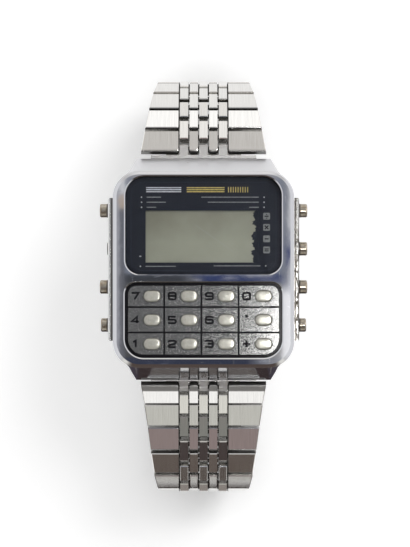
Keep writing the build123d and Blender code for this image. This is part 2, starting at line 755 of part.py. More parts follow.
# Return springs of the pushers, each as the sleeve that its coils fill
with BuildPart() as pusher_springs:
    for side in (-1, 1):
        for y in pusher_ys:
            with BuildSketch(side_plane(y, pusher_z).offset(side * (bore_floor_x + pusher_spring_gap))):
                Circle(pusher_stem_radius + pusher_stem_clearance + pusher_spring_wall)
                Circle(pusher_stem_radius + pusher_stem_clearance, mode=Mode.SUBTRACT)
            extrude(amount=side * (pusher_bore_depth - pusher_head_depth - 2 * pusher_spring_gap))
save(pusher_springs.part, "pusher_springs")

# Spring bars in the end slots, each with a thinner tip at both ends
with BuildPart() as lug_spring_bars:
    for side in (-1, 1):
        with BuildSketch(side_plane(side * spring_bar_y, spring_bar_z)):
            Circle(spring_bar_radius)
        extrude(amount=slot_width / 2 - spring_bar_end_gap, both=True)
        with BuildSketch(side_plane(side * spring_bar_y, spring_bar_z)):
            Circle(spring_bar_tip_radius)
        extrude(amount=slot_width / 2 + spring_bar_tip_length - spring_bar_end_gap, both=True)
save(lug_spring_bars.part, "lug_spring_bars")

# End pieces: a barrel on the spring bar, a bar along the case and three fingers to the first pin
with BuildPart() as end_links:
    for side, pin, bar_reach, tilt in ends:
        bar_in_y = side * (lug_y + end_piece_gap)
        bar_out_y = side * (lug_y + bar_reach)
        bar_bottom_z = spring_bar_z
        bar_top_z = lug_edge_z - end_piece_drop
        web_z = spring_bar_z + end_piece_barrel_radius
        with BuildSketch(side_plane(0, 0)):
            with Locations((side * spring_bar_y, spring_bar_z)):
                Circle(end_piece_barrel_radius)
            with BuildLine():
                Polyline(
                    (side * spring_bar_y, web_z - end_piece_web), (side * spring_bar_y, web_z),
                    (bar_in_y, web_z), (bar_in_y, bar_top_z), (bar_out_y, bar_top_z),
                    (bar_out_y, bar_bottom_z), (bar_in_y, bar_bottom_z), close=True,
                )
            make_face()
        extrude(amount=slot_width / 2 - end_piece_side_gap, both=True)
        rise_y = side * link_thickness / 2 * sin(radians(tilt))
        rise_z = link_thickness / 2 * cos(radians(tilt))
        for x in bridge_columns:
            with BuildSketch(side_plane(0, 0).offset(x - narrow_width / 2)):
                with Locations(pin):
                    Circle(link_thickness / 2)
                with BuildLine():
                    Polyline(
                        (bar_in_y, bar_bottom_z), (bar_in_y, bar_top_z),
                        (pin[0] + rise_y, pin[1] + rise_z), (pin[0] - rise_y, pin[1] - rise_z),
                        close=True,
                    )
                make_face()
            extrude(amount=narrow_width)
        roots = end_links.edges().filter_by(Axis.Z).filter_by_position(
            Axis.Y, bar_out_y - seat_clearance, bar_out_y + seat_clearance
        )
        inner_roots = roots.filter_by(lambda edge: abs(edge.center().X) < outer_plate_x)
        fillet(inner_roots, finger_root_radius)
        with BuildSketch(side_plane(*pin)):
            Circle(pin_radius + hinge_clearance)
        extrude(amount=slot_width / 2, both=True, mode=Mode.SUBTRACT)
        with BuildSketch(side_plane(side * spring_bar_y, spring_bar_z)):
            Circle(spring_bar_radius + spring_bar_clearance)
        extrude(amount=slot_width / 2, both=True, mode=Mode.SUBTRACT)
save(end_links.part, "end_links")


def link_unit(pins, first, tilts, side, near_width, far_width):
    """One pitch of the bracelet: a four-piece link, its three bridges and the two pins.

    The first pin hinges the link on the bridges of the unit before; the next one holds its own
    bridges. The first link of a half has rounded corners that clear the roots of the fingers.
    """
    near_pin, own_pin, far_pin = pins[first:first + 3]
    length = half_pitch + 2 * link_overhang
    bridge_length = half_pitch + 2 * bridge_overhang
    near_x = near_width / 2
    far_x = near_x - (near_width - far_width) / 2 * length / (2 * half_pitch)
    with BuildPart() as link:
        link_place = face_plane(*mid_point(near_pin, own_pin), tilts[first], side)
        with BuildSketch(link_place.offset(-link_thickness / 2)) as plates:
            for hand in (-1, 1):
                Polygon(
                    (hand * outer_plate_x, -side * length / 2), (hand * near_x, -side * length / 2),
                    (hand * far_x, side * length / 2), (hand * outer_plate_x, side * length / 2),
                    align=None,
                )
            for x in link_columns:
                with Locations((x, 0)):
                    Rectangle(narrow_width, length)
            if first == 0:
                near_corners = plates.vertices().filter_by(
                    lambda corner: side * corner.Y < 0 and abs(corner.X) < outer_plate_x + column_gap
                )
                fillet(near_corners, link_root_radius)
        extrude(amount=link_thickness)
        bridge_place = face_plane(*mid_point(own_pin, far_pin), tilts[first + 1], side)
        with BuildSketch(bridge_place.offset(-link_thickness / 2)):
            for x in bridge_columns:
                with Locations((x, 0)):
                    Rectangle(narrow_width, bridge_length)
        extrude(amount=link_thickness)
        for place in (link_place, bridge_place):
            upper = link.faces().filter_by(lambda face: face.normal_at().dot(place.z_dir) > square_on)
            chamfer(upper.edges(), link_bevel)
            lower = link.faces().filter_by(lambda face: face.normal_at().dot(place.z_dir) < -square_on)
            chamfer(lower.edges().filter_by(Axis.X), link_underside_bevel)
        for pin, gap in ((near_pin, pin_press_gap), (own_pin, pin_press_gap), (far_pin, hinge_clearance)):
            with BuildSketch(side_plane(*pin)):
                Circle(pin_radius + gap)
            extrude(amount=bracelet_width, both=True, mode=Mode.SUBTRACT)
        for pin in (near_pin, own_pin):
            with BuildSketch(side_plane(*pin)):
                Circle(pin_radius)
            extrude(amount=far_x - pin_recess, both=True)
    return link.part


# The two halves of the bracelet, numbered from the case outwards
for half, pins, tilts, side, taper in (
    ("12h", pins_12h, angles_12h, 1, taper_12h), ("6h", pins_6h, angles_6h, -1, taper_6h)
):
    for number in range(len(tilts) // 2):
        near_width = max(bracelet_width - taper * number, clasp_end_width)
        far_width = max(bracelet_width - taper * (number + 1), clasp_end_width)
        unit = link_unit(pins, 2 * number, tilts, side, near_width, far_width)
        save(unit, f"link_{half}_{number + 1}")

# Clasp frame: a plate with fingers at both ends, side walls and two hinge pins
finger_spans = [
    (outer_plate_x, frame_half), (-frame_half, -outer_plate_x),
    (column_pitch - narrow_width / 2, column_pitch + narrow_width / 2),
    (-column_pitch - narrow_width / 2, -column_pitch + narrow_width / 2),
]
with BuildPart() as clasp_frame:
    with BuildSketch(Plane.XY.offset(plate_z)):
        with Locations((0, (plate_near_y + plate_far_y) / 2)):
            Rectangle(clasp_end_width, plate_near_y - plate_far_y)
        with Locations((0, plate_near_y - frame_slot_setback - frame_slot_pitch)):
            with GridLocations(frame_slot_width, frame_slot_pitch, 1, frame_slot_count):
                SlotOverall(frame_slot_width, frame_slot_length, mode=Mode.SUBTRACT)
    extrude(amount=frame_plate_thickness)
    for low_x, high_x in finger_spans:
        for (pin_y, pin_z), plate_y in ((hinge_pin, plate_near_y), (open_end, plate_far_y)):
            with BuildSketch(side_plane(0, 0).offset(low_x)):
                with Locations((pin_y, pin_z)):
                    Circle(link_thickness / 2)
                with Locations(((pin_y + plate_y) / 2, plate_z + frame_plate_thickness / 2)):
                    Rectangle(abs(plate_y - pin_y), frame_plate_thickness)
            extrude(amount=high_x - low_x)
    for side in (-1, 1):
        with BuildSketch(side_plane(0, 0).offset(side * frame_half)):
            with Locations(flap_pin):
                Circle(flap_ear_radius)
            with BuildLine():
                Polyline(
                    (flap_pin[0] + flap_ear_radius, plate_z),
                    (flap_pin[0] + flap_ear_radius, flap_pin[1]), (flap_pin[0], frame_wall_z),
                    (flap_end_y + frame_wall_end_gap, frame_wall_z),
                    (flap_end_y + frame_wall_end_gap, plate_z), close=True,
                )
            make_face()
        extrude(amount=-side * frame_wall)
    for pin in (hinge_pin, open_end, flap_pin):
        with BuildSketch(side_plane(*pin)):
            Circle(pin_radius + pin_press_gap)
        extrude(amount=clasp_end_width, both=True, mode=Mode.SUBTRACT)
    with BuildSketch(side_plane(*hinge_pin)):
        Circle(pin_radius)
    extrude(amount=frame_half - pin_recess, both=True)
    with BuildSketch(side_plane(*flap_pin)):
        Circle(pin_radius)
    extrude(amount=flap_half, both=True)
save(clasp_frame.part, "clasp_frame")

# Clasp flap: a shallow lid under the frame, hinged at its 12 o'clock end
with BuildPart() as clasp_flap:
    with BuildSketch():
        with Locations((0, (flap_pin[0] - flap_root_gap + flap_end_y - flap_lip) / 2)):
            Rectangle(2 * flap_half, flap_length - flap_root_gap + flap_lip)
    extrude(amount=flap_thickness)
    fillet(clasp_flap.edges().filter_by(Axis.Z).group_by(Axis.Y)[0], flap_edge_radius)
    chamfer(clasp_flap.faces().sort_by(Axis.Z)[0].edges(), flap_edge_bevel)
    for side in (-1, 1):
        with BuildSketch(side_plane(0, 0).offset(side * flap_half)):
            with Locations(flap_pin):
                Circle(flap_ear_radius)
            with BuildLine():
                Polyline(
                    (flap_pin[0], flap_pin[1] + flap_ear_radius),
                    (flap_pin[0] - flap_ear_radius, flap_wall_top), (flap_end_y, flap_wall_top),
                    (flap_end_y, flap_thickness / 2), (flap_pin[0] - flap_root_gap, flap_thickness / 2),
                    (flap_pin[0] - flap_root_gap, flap_pin[1]), close=True,
                )
            make_face()
        extrude(amount=-side * flap_wall)
    with BuildSketch(Plane.XY.offset(flap_thickness / 2)):
        with Locations((0, flap_end_y - flap_lip_wall / 2)):
            Rectangle(2 * (flap_half - flap_edge_radius), flap_lip_wall)
    extrude(amount=flap_wall_top - flap_thickness / 2)
    with BuildSketch(side_plane(*flap_pin)):
        Circle(pin_radius + hinge_clearance)
    extrude(amount=2 * flap_half, both=True, mode=Mode.SUBTRACT)
save(clasp_flap.part, "clasp_flap")
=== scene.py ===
"""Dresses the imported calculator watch: finishes, printed marks, studio light and camera."""

import logging
import math
from dataclasses import dataclass
from enum import Enum
from typing import Callable

import bmesh
import bpy
from mathutils import Matrix, Vector


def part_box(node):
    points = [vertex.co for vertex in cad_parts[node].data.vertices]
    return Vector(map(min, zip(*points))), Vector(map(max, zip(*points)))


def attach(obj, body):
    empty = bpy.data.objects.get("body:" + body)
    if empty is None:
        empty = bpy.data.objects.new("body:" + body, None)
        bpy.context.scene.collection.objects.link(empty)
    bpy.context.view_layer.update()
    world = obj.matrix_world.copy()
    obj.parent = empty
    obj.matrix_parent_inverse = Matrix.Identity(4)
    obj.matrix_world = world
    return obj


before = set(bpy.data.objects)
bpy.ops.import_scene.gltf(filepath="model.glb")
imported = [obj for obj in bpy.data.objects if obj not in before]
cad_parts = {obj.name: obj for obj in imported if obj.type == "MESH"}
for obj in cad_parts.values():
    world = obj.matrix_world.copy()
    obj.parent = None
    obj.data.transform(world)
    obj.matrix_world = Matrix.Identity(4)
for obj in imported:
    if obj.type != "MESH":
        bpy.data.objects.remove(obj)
log = logging.getLogger("watch")

Triple = tuple[float, float, float]
Colour = Triple
Point = tuple[float, float]
Ramp = tuple[float, float]  # where a share is 0, and where it is 1

MM = 0.001
NOISE_MIDDLE = 0.5
HALF_TURN = 180.0  # degrees
RAMP_MIDDLE = 0.5
OCCLUSION_SAMPLES = 8
MIX_SHARE, MIX_ONE, MIX_OTHER, MIX_RESULT = 0, 6, 7, 2  # the colour sockets of a Mix node
CORNER_SHARES = (0.0, 0.2, 0.4, 0.6, 0.8, 1.0)
LEAST_MITRE = 0.5
DOT_SEGMENTS = 16
RING_CORNERS = 4
WHITE: Colour = (1.0, 1.0, 1.0)
BLACK: Colour = (0.0, 0.0, 0.0)


def scaled(colour: Colour, share: float) -> Colour:
    """A colour with each channel multiplied by a share."""
    return tuple(channel * share for channel in colour)


@dataclass(frozen=True)
class Pattern:
    """Soft noise: its frequency per axis, finer octaves, turn about z in degrees, and seed."""

    per_mm: Triple
    detail: float = 3.0
    turn: float = 0.0
    seed: float = 0.0


class Signal:
    """A socket that carries one number, on which arithmetic adds Math nodes."""

    def __init__(self, bench: "Bench", socket: bpy.types.NodeSocket) -> None:
        """Wraps a socket of one material's node tree."""
        self.bench = bench
        self.socket = socket

    def _math(self, operation: str, *values: "Signal | float", clamp: bool = False) -> "Signal":
        """Adds one Math node, whose result is kept within 0 and 1 where clamp says so."""
        settings = {"operation": operation, "use_clamp": clamp}
        return self.bench.signal("ShaderNodeMath", settings, dict(enumerate(values)))

    def __add__(self, other: "Signal | float") -> "Signal":
        """The sum."""
        return self._math("ADD", self, other)

    __radd__ = __add__

    def __sub__(self, other: "Signal | float") -> "Signal":
        """The difference."""
        return self._math("SUBTRACT", self, other)

    def __rsub__(self, other: "Signal | float") -> "Signal":
        """The difference, from the other side."""
        return self._math("SUBTRACT", other, self)

    def __mul__(self, other: "Signal | float") -> "Signal":
        """The product."""
        return self._math("MULTIPLY", self, other)

    __rmul__ = __mul__

    def __truediv__(self, other: "Signal | float") -> "Signal":
        """The quotient."""
        return self._math("DIVIDE", self, other)

    def __abs__(self) -> "Signal":
        """The size without its sign."""
        return self._math("ABSOLUTE", self)

    def highest(self, other: "Signal | float") -> "Signal":
        """The larger of the two."""
        return self._math("MAXIMUM", self, other)

    def turn_to(self, other: "Signal") -> "Signal":
        """The angle in degrees whose opposite side is this signal and whose near side is the other."""
        return self._math("DEGREES", self._math("ARCTAN2", self, other))

    def fold(self, centre: float, pitch: float) -> "Signal":
        """How far the signal lies from the nearest of evenly spaced places."""
        return self._math("PINGPONG", self - centre, pitch / 2)

    def between(self, low: float, high: float, soft: float) -> "Signal":
        """1 between two limits and 0 outside them, with soft edges."""
        return self.rise(low - soft, low + soft) * self.rise(high + soft, high - soft)

    def rise(self, low: float, high: float) -> "Signal":
        """A ramp that climbs from 0 at low to 1 at high, or falls where high is the smaller."""
        return self._math("DIVIDE", self - low, high - low, clamp=True)


Value = Signal | float | Colour | bpy.types.NodeSocket


class Bench:
    """Builds the node tree of one material or of the world."""

    def __init__(self, owner: "bpy.types.Material | bpy.types.World", coordinates: str = "Object") -> None:
        """Empties the owner's node tree and reads one kind of coordinates in it.

        Args:
            owner: the material or the world.
            coordinates: the kind of coordinates that places and patterns read.
        """
        owner.use_nodes = True
        self.owner = owner
        self.tree = owner.node_tree
        self.tree.nodes.clear()
        self.coordinates = self.node("ShaderNodeTexCoord", {}, {}).outputs[coordinates]

    def node(self, kind: str, settings: dict, values: dict) -> bpy.types.Node:
        """Adds one node.

        Args:
            kind: the node's type.
            settings: its properties; "stops" holds a ramp's (position, colour) pairs.
            values: numbers, tuples, signals or sockets for its inputs, by name or place.

        Returns:
            The node.
        """
        made = self.tree.nodes.new(kind)
        for name, setting in settings.items():
            if name == "stops":
                ramp = made.color_ramp.elements
                ramp.remove(ramp[1])
                ramp[0].position = setting[0][0]
                stops = [ramp[0], *(ramp.new(position) for position, _ in setting[1:])]
                for stop, (_, colour) in zip(stops, setting):
                    stop.color = (*colour, 1.0)
            else:
                setattr(made, name, setting)
        for name, value in values.items():
            value = value.socket if isinstance(value, Signal) else value
            if isinstance(value, bpy.types.NodeSocket):
                self.tree.links.new(value, made.inputs[name])
            else:
                is_colour = made.inputs[name].type == "RGBA"
                made.inputs[name].default_value = (*value, 1.0) if is_colour else value
        return made

    def socket(self, kind: str, settings: dict, values: dict, place: int | str = 0) -> bpy.types.NodeSocket:
        """Adds one node and gives one of its outputs, the first unless another place is named."""
        return self.node(kind, settings, values).outputs[place]

    def signal(self, kind: str, settings: dict, values: dict, place: int | str = 0) -> Signal:
        """Adds one node and gives one of its outputs as a signal."""
        return Signal(self, self.socket(kind, settings, values, place))

    def place(self) -> tuple[Signal, Signal, Signal]:
        """The surface point's x, y and z in millimetres."""
        return self.axes(self.stretched((1.0, 1.0, 1.0)))

    def axes(self, vector: bpy.types.NodeSocket) -> tuple[Signal, Signal, Signal]:
        """The x, y and z of a vector."""
        split = self.node("ShaderNodeSeparateXYZ", {}, {0: vector})
        return tuple(Signal(self, output) for output in split.outputs)

    def stretched(self, per_mm: Triple, turn: float = 0.0) -> bpy.types.NodeSocket:
        """The coordinates with so many pattern units to a millimetre, turned about z by degrees."""
        values = {"Scale": tuple(units / MM for units in per_mm), "Rotation": (0.0, 0.0, math.radians(turn))}
        return self.socket("ShaderNodeMapping", {}, {"Vector": self.coordinates, **values})

    def noise(self, pattern: Pattern) -> Signal:
        """Soft noise between 0 and 1.

        Args:
            pattern: its frequency, octaves, turn and seed.

        Returns:
            The noise.
        """
        return self.signal("ShaderNodeTexNoise", {"noise_dimensions": "4D"}, {
            "Vector": self.stretched(pattern.per_mm, pattern.turn),
            "Scale": 1.0, "Detail": pattern.detail, "W": pattern.seed,
        })

    def flakes(self, per_mm: float) -> Signal:
        """A random value between 0 and 1 for each small cell of the surface.

        Args:
            per_mm: how many cells lie in a row of a millimetre.

        Returns:
            The value.
        """
        values = {"Vector": self.stretched((per_mm,) * 3), "Scale": 1.0}
        cells = self.socket("ShaderNodeTexVoronoi", {}, values, "Color")
        return self.signal("ShaderNodeSeparateColor", {}, {0: cells})

    def crevice(self, reach_mm: float) -> Signal:
        """How deep a point lies in a gap: 0 in the open and 1 where nothing reaches it."""
        values = {"Distance": reach_mm * MM}
        return 1.0 - self.signal("ShaderNodeAmbientOcclusion", {"samples": OCCLUSION_SAMPLES}, values, "AO")

    def blend(self, share: Value, one: Value, other: Value) -> bpy.types.NodeSocket:
        """Mixes two colours; share 0 gives the first and 1 the other."""
        values = {MIX_SHARE: share, MIX_ONE: one, MIX_OTHER: other}
        return self.socket("ShaderNodeMix", {"data_type": "RGBA"}, values, MIX_RESULT)

    def layered(self, base: Value, *layers: tuple[Value, Value]) -> Value:
        """Lays colours over each other.

        Args:
            base: the lowest colour.
            layers: for each colour over it, its share and the colour.

        Returns:
            The socket of the mixed colour.
        """
        for share, colour in layers:
            base = self.blend(share, base, colour)
        return base

    def bump(self, height: Signal, depth_mm: float,
             normal: bpy.types.NodeSocket | None = None) -> bpy.types.NodeSocket:
        """A normal that follows a height between 0 and 1, on the surface's own or on another normal."""
        base = {} if normal is None else {"Normal": normal}
        return self.socket("ShaderNodeBump", {}, {"Height": height, "Distance": depth_mm * MM, **base})

    def upright(self, sideways: float) -> bpy.types.NodeSocket:
        """The surface's normal with only a share of its lean along x.

        Args:
            sideways: the share of the lean that is kept.

        Returns:
            The socket of the normal.
        """
        values = {0: self.socket("ShaderNodeNewGeometry", {}, {}, "Normal"), 1: (sideways, 1.0, 1.0)}
        leaned = self.socket("ShaderNodeVectorMath", {"operation": "MULTIPLY"}, values)
        return self.socket("ShaderNodeVectorMath", {"operation": "NORMALIZE"}, {0: leaned})

    def finish(self, values: dict) -> bpy.types.Material:
        """Ends the tree in a Principled shader with these socket values."""
        return self.surface(self.socket("ShaderNodeBsdfPrincipled", {}, values))

    def surface(self, shader: bpy.types.NodeSocket) -> bpy.types.Material:
        """Ends the tree in a shader."""
        self.node("ShaderNodeOutputMaterial", {}, {0: shader})
        return self.owner


class Finish:
    """What every finish of the watch can do."""

    def material(self) -> bpy.types.Material:
        """Builds the finish's material."""
        raise NotImplementedError


@dataclass(frozen=True)
class BrushedSteel(Finish):
    """Steel with fine lines along one direction, and painted shade in its gaps."""

    name: str
    colour: Colour = (0.72, 0.71, 0.69)
    lines: Triple = (7.0, 0.22, 0.22)
    roughness: float = 0.2
    line_detail: float = 4.0
    line_ramp: Ramp = (0.3, 0.7)
    line_roughness: float = 0.06
    contrast: float = 0.12
    depth_mm: float = 0.002
    grime_and_shade: Colour = (0.03, 0.027, 0.024)
    shade_ramp: Ramp = (0.42, 0.78)
    shade_roughness: float = 0.4
    gap_mm: float = 0.6
    patches: Pattern = Pattern((0.35,) * 3, seed=4.0)
    patch_share: float = 0.1

    def material(self) -> bpy.types.Material:
        """Builds the brushed finish.

        Returns:
            The material.
        """
        bench = Bench(bpy.data.materials.new(self.name))
        lines = bench.noise(Pattern(self.lines, self.line_detail))
        gaps = bench.crevice(self.gap_mm) + bench.noise(self.patches) * self.patch_share
        # painted shade: the colour darkens where occlusion finds a gap, on the walls and ends a subclass
        # names, and a little at random
        painted_shade = gaps.rise(*self.shade_ramp).highest(self.wall_shade(bench))
        worn = scaled(self.colour, 1.0 - self.contrast)
        tone = bench.blend(lines.rise(*self.line_ramp), worn, self.colour)
        return bench.finish({
            "Base Color": bench.blend(painted_shade, tone, self.grime_and_shade),
            "Metallic": 1.0,
            "Roughness": lines * self.line_roughness + self.roughness - self.line_roughness / 2
            + painted_shade * self.shade_roughness,
            "Normal": bench.bump(lines, self.depth_mm, self.facing(bench)),
        })

    def facing(self, bench: Bench) -> bpy.types.NodeSocket | None:
        """The normal that the lines are cut into: the surface's own."""
        return None

    def wall_shade(self, bench: Bench) -> Signal | float:
        """How much painted shade lies where no gap shows it: none on plain parts."""
        return 0.0


@dataclass(frozen=True)
class LinkSteel(BrushedSteel):
    """Brushed steel of the links, with painted shade on the side walls between the columns."""

    column_pitch: float = 1.86
    narrow_columns: int = 5
    wall_edge: Ramp = (0.14, 0.12)
    middle_edge: Ramp = (1.0, 0.6)
    lower_end: Ramp = (-23.2, -23.0)
    lower_half: Ramp = (0.0, -1.0)
    lower_end_shade: float = 0.7
    upper_end: Ramp = (22.8, 22.3)
    upper_half: Ramp = (0.0, 1.0)
    upper_end_shade: float = 0.5
    edge_lean: float = 0.2

    def facing(self, bench: Bench) -> bpy.types.NodeSocket:
        """The normal of a plate whose narrow side bevels are worn round, so that they hardly show."""
        return bench.upright(self.edge_lean)

    def wall_shade(self, bench: Bench) -> Signal:
        """Finds the walls beside each narrow column, and the ends that lie under the case, where shade is
        painted.

        Args:
            bench: the material's bench.

        Returns:
            How much painted shade lies there.
        """
        x, y, _ = bench.place()
        half = self.column_pitch / 2
        # painted shade: dark walls beside each narrow column, and dark bands at the link ends under the case
        aside = abs(x).fold(half, self.column_pitch).rise(*self.wall_edge)
        middle = abs(x).rise(*(half * (self.narrow_columns + halves) for halves in self.middle_edge))
        lower = y.rise(*self.lower_end) * y.rise(*self.lower_half) * self.lower_end_shade
        upper = y.rise(*self.upper_end) * y.rise(*self.upper_half) * self.upper_end_shade
        return (aside * middle).highest(lower).highest(upper)


@dataclass(frozen=True)
class MouldedPart(Finish):
    """Moulded plastic, rubber or laminate with a fine grain."""

    name: str
    colour: Colour
    roughness: float = 0.55
    grain_per_mm: float = 4.0
    depth_mm: float = 0.01
    gloss: float = 0.5
    grain_detail: float = 4.0
    grain_roughness: float = 0.15
    grain_offset: float = 0.07
    cloud: Pattern = Pattern((0.3,) * 3, 2.0, seed=2.0)
    cloud_ramp: Ramp = (0.3, 0.7)
    variation: float = 0.18

    def material(self) -> bpy.types.Material:
        """Builds the moulded finish.

        Returns:
            The material.
        """
        bench = Bench(bpy.data.materials.new(self.name))
        grain = bench.noise(Pattern((self.grain_per_mm,) * 3, self.grain_detail))
        cloud = bench.noise(self.cloud).rise(*self.cloud_ramp)
        return bench.finish({
            "Base Color": bench.blend(cloud, scaled(self.colour, 1.0 - self.variation), self.colour),
            "Roughness": grain * self.grain_roughness + self.roughness - self.grain_offset,
            "Specular IOR Level": self.gloss,
            "Normal": bench.bump(grain, self.depth_mm),
        })


@dataclass(frozen=True)
class PlatedCase(Finish):
    """Polished plate on the case: a scratched bezel and worn, pitted button bars, with painted shade in its
    gaps, along a groove on each bar, on the keypad opening's upper bevel and over the right bar.
    """

    name: str = "polished_plate"
    plate: Colour = (0.62, 0.62, 0.635)
    left_bar_plate: Colour = (0.72, 0.715, 0.70)
    shaded_right_bar_plate: Colour = (0.37, 0.365, 0.35)
    base_metal: Colour = (0.26, 0.21, 0.15)
    pit_and_shade: Colour = (0.07, 0.058, 0.045)
    roughness: float = 0.06
    right_half: Ramp = (0.0, 1.0)
    upper_half: Ramp = (0.0, 1.0)
    top_z: Ramp = (37.2, 37.3)
    top_polish: float = 0.04
    hairs: Pattern = Pattern((0.3, 3.0, 3.0), 2.0, turn=24.0)
    hair_ramp: Ramp = (0.68, 0.74)
    cross_hairs: Pattern = Pattern((3.0, 0.3, 3.0), 2.0, turn=-12.0, seed=3.0)
    cross_ramp: Ramp = (0.70, 0.76)
    hair_roughness: float = 0.05
    ripple: Pattern = Pattern((0.3,) * 3, 2.0, seed=7.0)
    ripple_mm: float = 0.0008
    bar_x: Ramp = (17.02, 17.12)
    bar_roughness: float = 0.16
    groove_x: float = 17.36
    groove_edge: Ramp = (0.16, 0.08)
    groove_shade_share: float = 0.8
    pits: Pattern = Pattern((5.0, 1.3, 4.5), seed=9.0)
    pit_ramp: Ramp = (0.44, 0.56)
    pit_y: Ramp = (9.0, 6.0)
    pit_z: Ramp = (34.9, 35.5)
    pit_roughness: float = 0.4
    rub: Pattern = Pattern((0.8,) * 3, 4.0, seed=5.0)
    rub_ramp: Ramp = (0.68, 0.74)
    rub_share: float = 0.4
    gap_mm: float = 0.8
    gap_ramp: Ramp = (0.5, 0.85)
    satin_roughness: float = 0.24
    bevel_z: Ramp = (37.5, 37.47)
    bevel_ys: Point = (-3.6, -2.2)
    bevel_soft: float = 0.05
    bevel_x: Ramp = (15.3, 15.1)
    bevel_shade_share: float = 0.9
    bevel_roughness: float = 0.6

    def material(self) -> bpy.types.Material:
        """Builds the plated finish.

        Returns:
            The material.
        """
        bench = Bench(bpy.data.materials.new(self.name))
        x, y, z = bench.place()
        on_top = z.rise(*self.top_z)
        on_bar = abs(x).rise(*self.bar_x)
        hairs = bench.noise(self.hairs).rise(*self.hair_ramp)
        hairs = hairs.highest(bench.noise(self.cross_hairs).rise(*self.cross_ramp))
        # painted shade: a dark line along the groove between each bar and the body
        groove_shade = abs(abs(x) - self.groove_x).rise(*self.groove_edge) * on_bar * self.groove_shade_share
        worn_end = y.rise(*self.pit_y) * x.rise(*self.right_half)
        pits = bench.noise(self.pits).rise(*self.pit_ramp) * on_bar * worn_end * z.rise(*self.pit_z)
        rub = bench.noise(self.rub).rise(*self.rub_ramp) * self.rub_share
        # painted shade: the right bar's plate is a darker copy of the bar plate
        bar_tone = bench.blend(x.rise(*self.right_half), self.left_bar_plate, self.shaded_right_bar_plate)
        tone = bench.layered(self.plate, (on_bar, bar_tone), (rub * (1.0 - on_top), self.base_metal))
        # painted shade: the colour darkens where occlusion finds a gap
        painted_shade = bench.crevice(self.gap_mm).rise(*self.gap_ramp)
        satin = (1.0 - on_top) * (1.0 - on_bar) * y.rise(*self.upper_half)
        # painted shade on the upper bevel of the keypad opening
        bevel = z.rise(*self.bevel_z) * y.between(*self.bevel_ys, self.bevel_soft)
        bevel = bevel * abs(x).rise(*self.bevel_x) * self.bevel_shade_share
        return bench.finish({
            "Base Color": bench.blend(pits.highest(painted_shade).highest(groove_shade).highest(bevel), tone, self.pit_and_shade),
            "Metallic": 1.0,
            "Roughness": hairs * self.hair_roughness + pits * self.pit_roughness
            + on_bar * self.bar_roughness + satin * self.satin_roughness
            + bevel * self.bevel_roughness - on_top * self.top_polish + self.roughness,
            "Normal": bench.bump(bench.noise(self.ripple) * on_top, self.ripple_mm),
        })


@dataclass(frozen=True)
class KeypadPaint(Finish):
    """Sparkled silver paint on the raised face, black in the ruled lines and on the border."""

    name: str = "sparkled_silver"
    silver: Colour = (0.315, 0.312, 0.303)
    shade: Colour = (0.172, 0.172, 0.167)
    black: Colour = (0.004, 0.004, 0.006)
    bright: Colour = (0.70, 0.69, 0.65)
    face_z: Ramp = (36.63, 36.67)
    flakes_per_mm: float = 5.5
    grain: Pattern = Pattern((4.0,) * 3, 2.0, seed=1.0)
    cloud: Pattern = Pattern((0.3,) * 3, seed=6.0)
    flake_share: float = 0.5
    grain_share: float = 0.6
    cloud_share: float = 0.3
    mixture_ramp: Ramp = (0.3, 1.1)
    specks: Pattern = Pattern((2.4,) * 3, 4.0, seed=8.0)
    speck_ramp: Ramp = (0.68, 0.74)
    speck_share: float = 0.5
    metallic: float = 0.95
    roughness: float = 0.125
    flake_roughness: float = 0.05
    gloss: float = 0.2
    depth_mm: float = 0.0006

    def material(self) -> bpy.types.Material:
        """Builds the keypad plate's paint.

        Returns:
            The material.
        """
        bench = Bench(bpy.data.materials.new(self.name))
        face = bench.place()[2].rise(*self.face_z)
        flakes = bench.flakes(self.flakes_per_mm)
        grain = bench.noise(self.grain)
        mixture = flakes * self.flake_share + grain * self.grain_share
        mixture = (mixture + bench.noise(self.cloud) * self.cloud_share).rise(*self.mixture_ramp)
        specks = bench.noise(self.specks).rise(*self.speck_ramp) * self.speck_share
        silver = bench.layered(self.shade, (mixture, self.silver), (specks, self.bright))
        return bench.finish({
            "Base Color": bench.blend(face, self.black, silver),
            "Metallic": face * self.metallic,
            "Roughness": flakes * self.flake_roughness + self.roughness,
            "Specular IOR Level": self.gloss,
            "Normal": bench.bump(grain, self.depth_mm),
        })


@dataclass(frozen=True)
class KeyPaint(Finish):
    """Worn cream silver on the keys, which are slightly domed."""

    centre: Point
    pitch: Point
    size: Point
    name: str = "cream_silver"
    cream: Colour = (0.57, 0.56, 0.495)
    worn: Colour = (0.40, 0.39, 0.34)
    grime_and_shade: Colour = (0.16, 0.14, 0.11)
    grain: Pattern = Pattern((3.0,) * 3)
    grain_share: float = 0.8
    specks_per_mm: float = 4.0
    speck_share: float = 0.25
    mixture_ramp: Ramp = (0.2, 0.85)
    chips: Pattern = Pattern((0.9,) * 3, seed=12.0)
    chip_ramp: Ramp = (0.71, 0.74)
    metallic: float = 0.5
    roughness: float = 0.17
    speck_roughness: float = 0.05
    grain_height: float = 0.02
    dome_mm: float = 0.16

    def material(self) -> bpy.types.Material:
        """Builds the keys' paint.

        Returns:
            The material.
        """
        bench = Bench(bpy.data.materials.new(self.name))
        x, y, _ = bench.place()
        across = x.fold(self.centre[0], self.pitch[0]) / (self.size[0] / 2)
        along = y.fold(self.centre[1], self.pitch[1]) / (self.size[1] / 2)
        fall = across * across * across * across + along * along * along
        grain = bench.noise(self.grain)
        specks = bench.flakes(self.specks_per_mm)
        mixture = (grain * self.grain_share + specks * self.speck_share).rise(*self.mixture_ramp)
        chips = bench.noise(self.chips).rise(*self.chip_ramp)
        return bench.finish({
            "Base Color": bench.layered(self.worn, (mixture, self.cream), (chips, self.grime_and_shade)),
            "Metallic": self.metallic,
            "Roughness": specks * self.speck_roughness + self.roughness,
            "Normal": bench.bump(grain * self.grain_height - fall, self.dome_mm),
        })


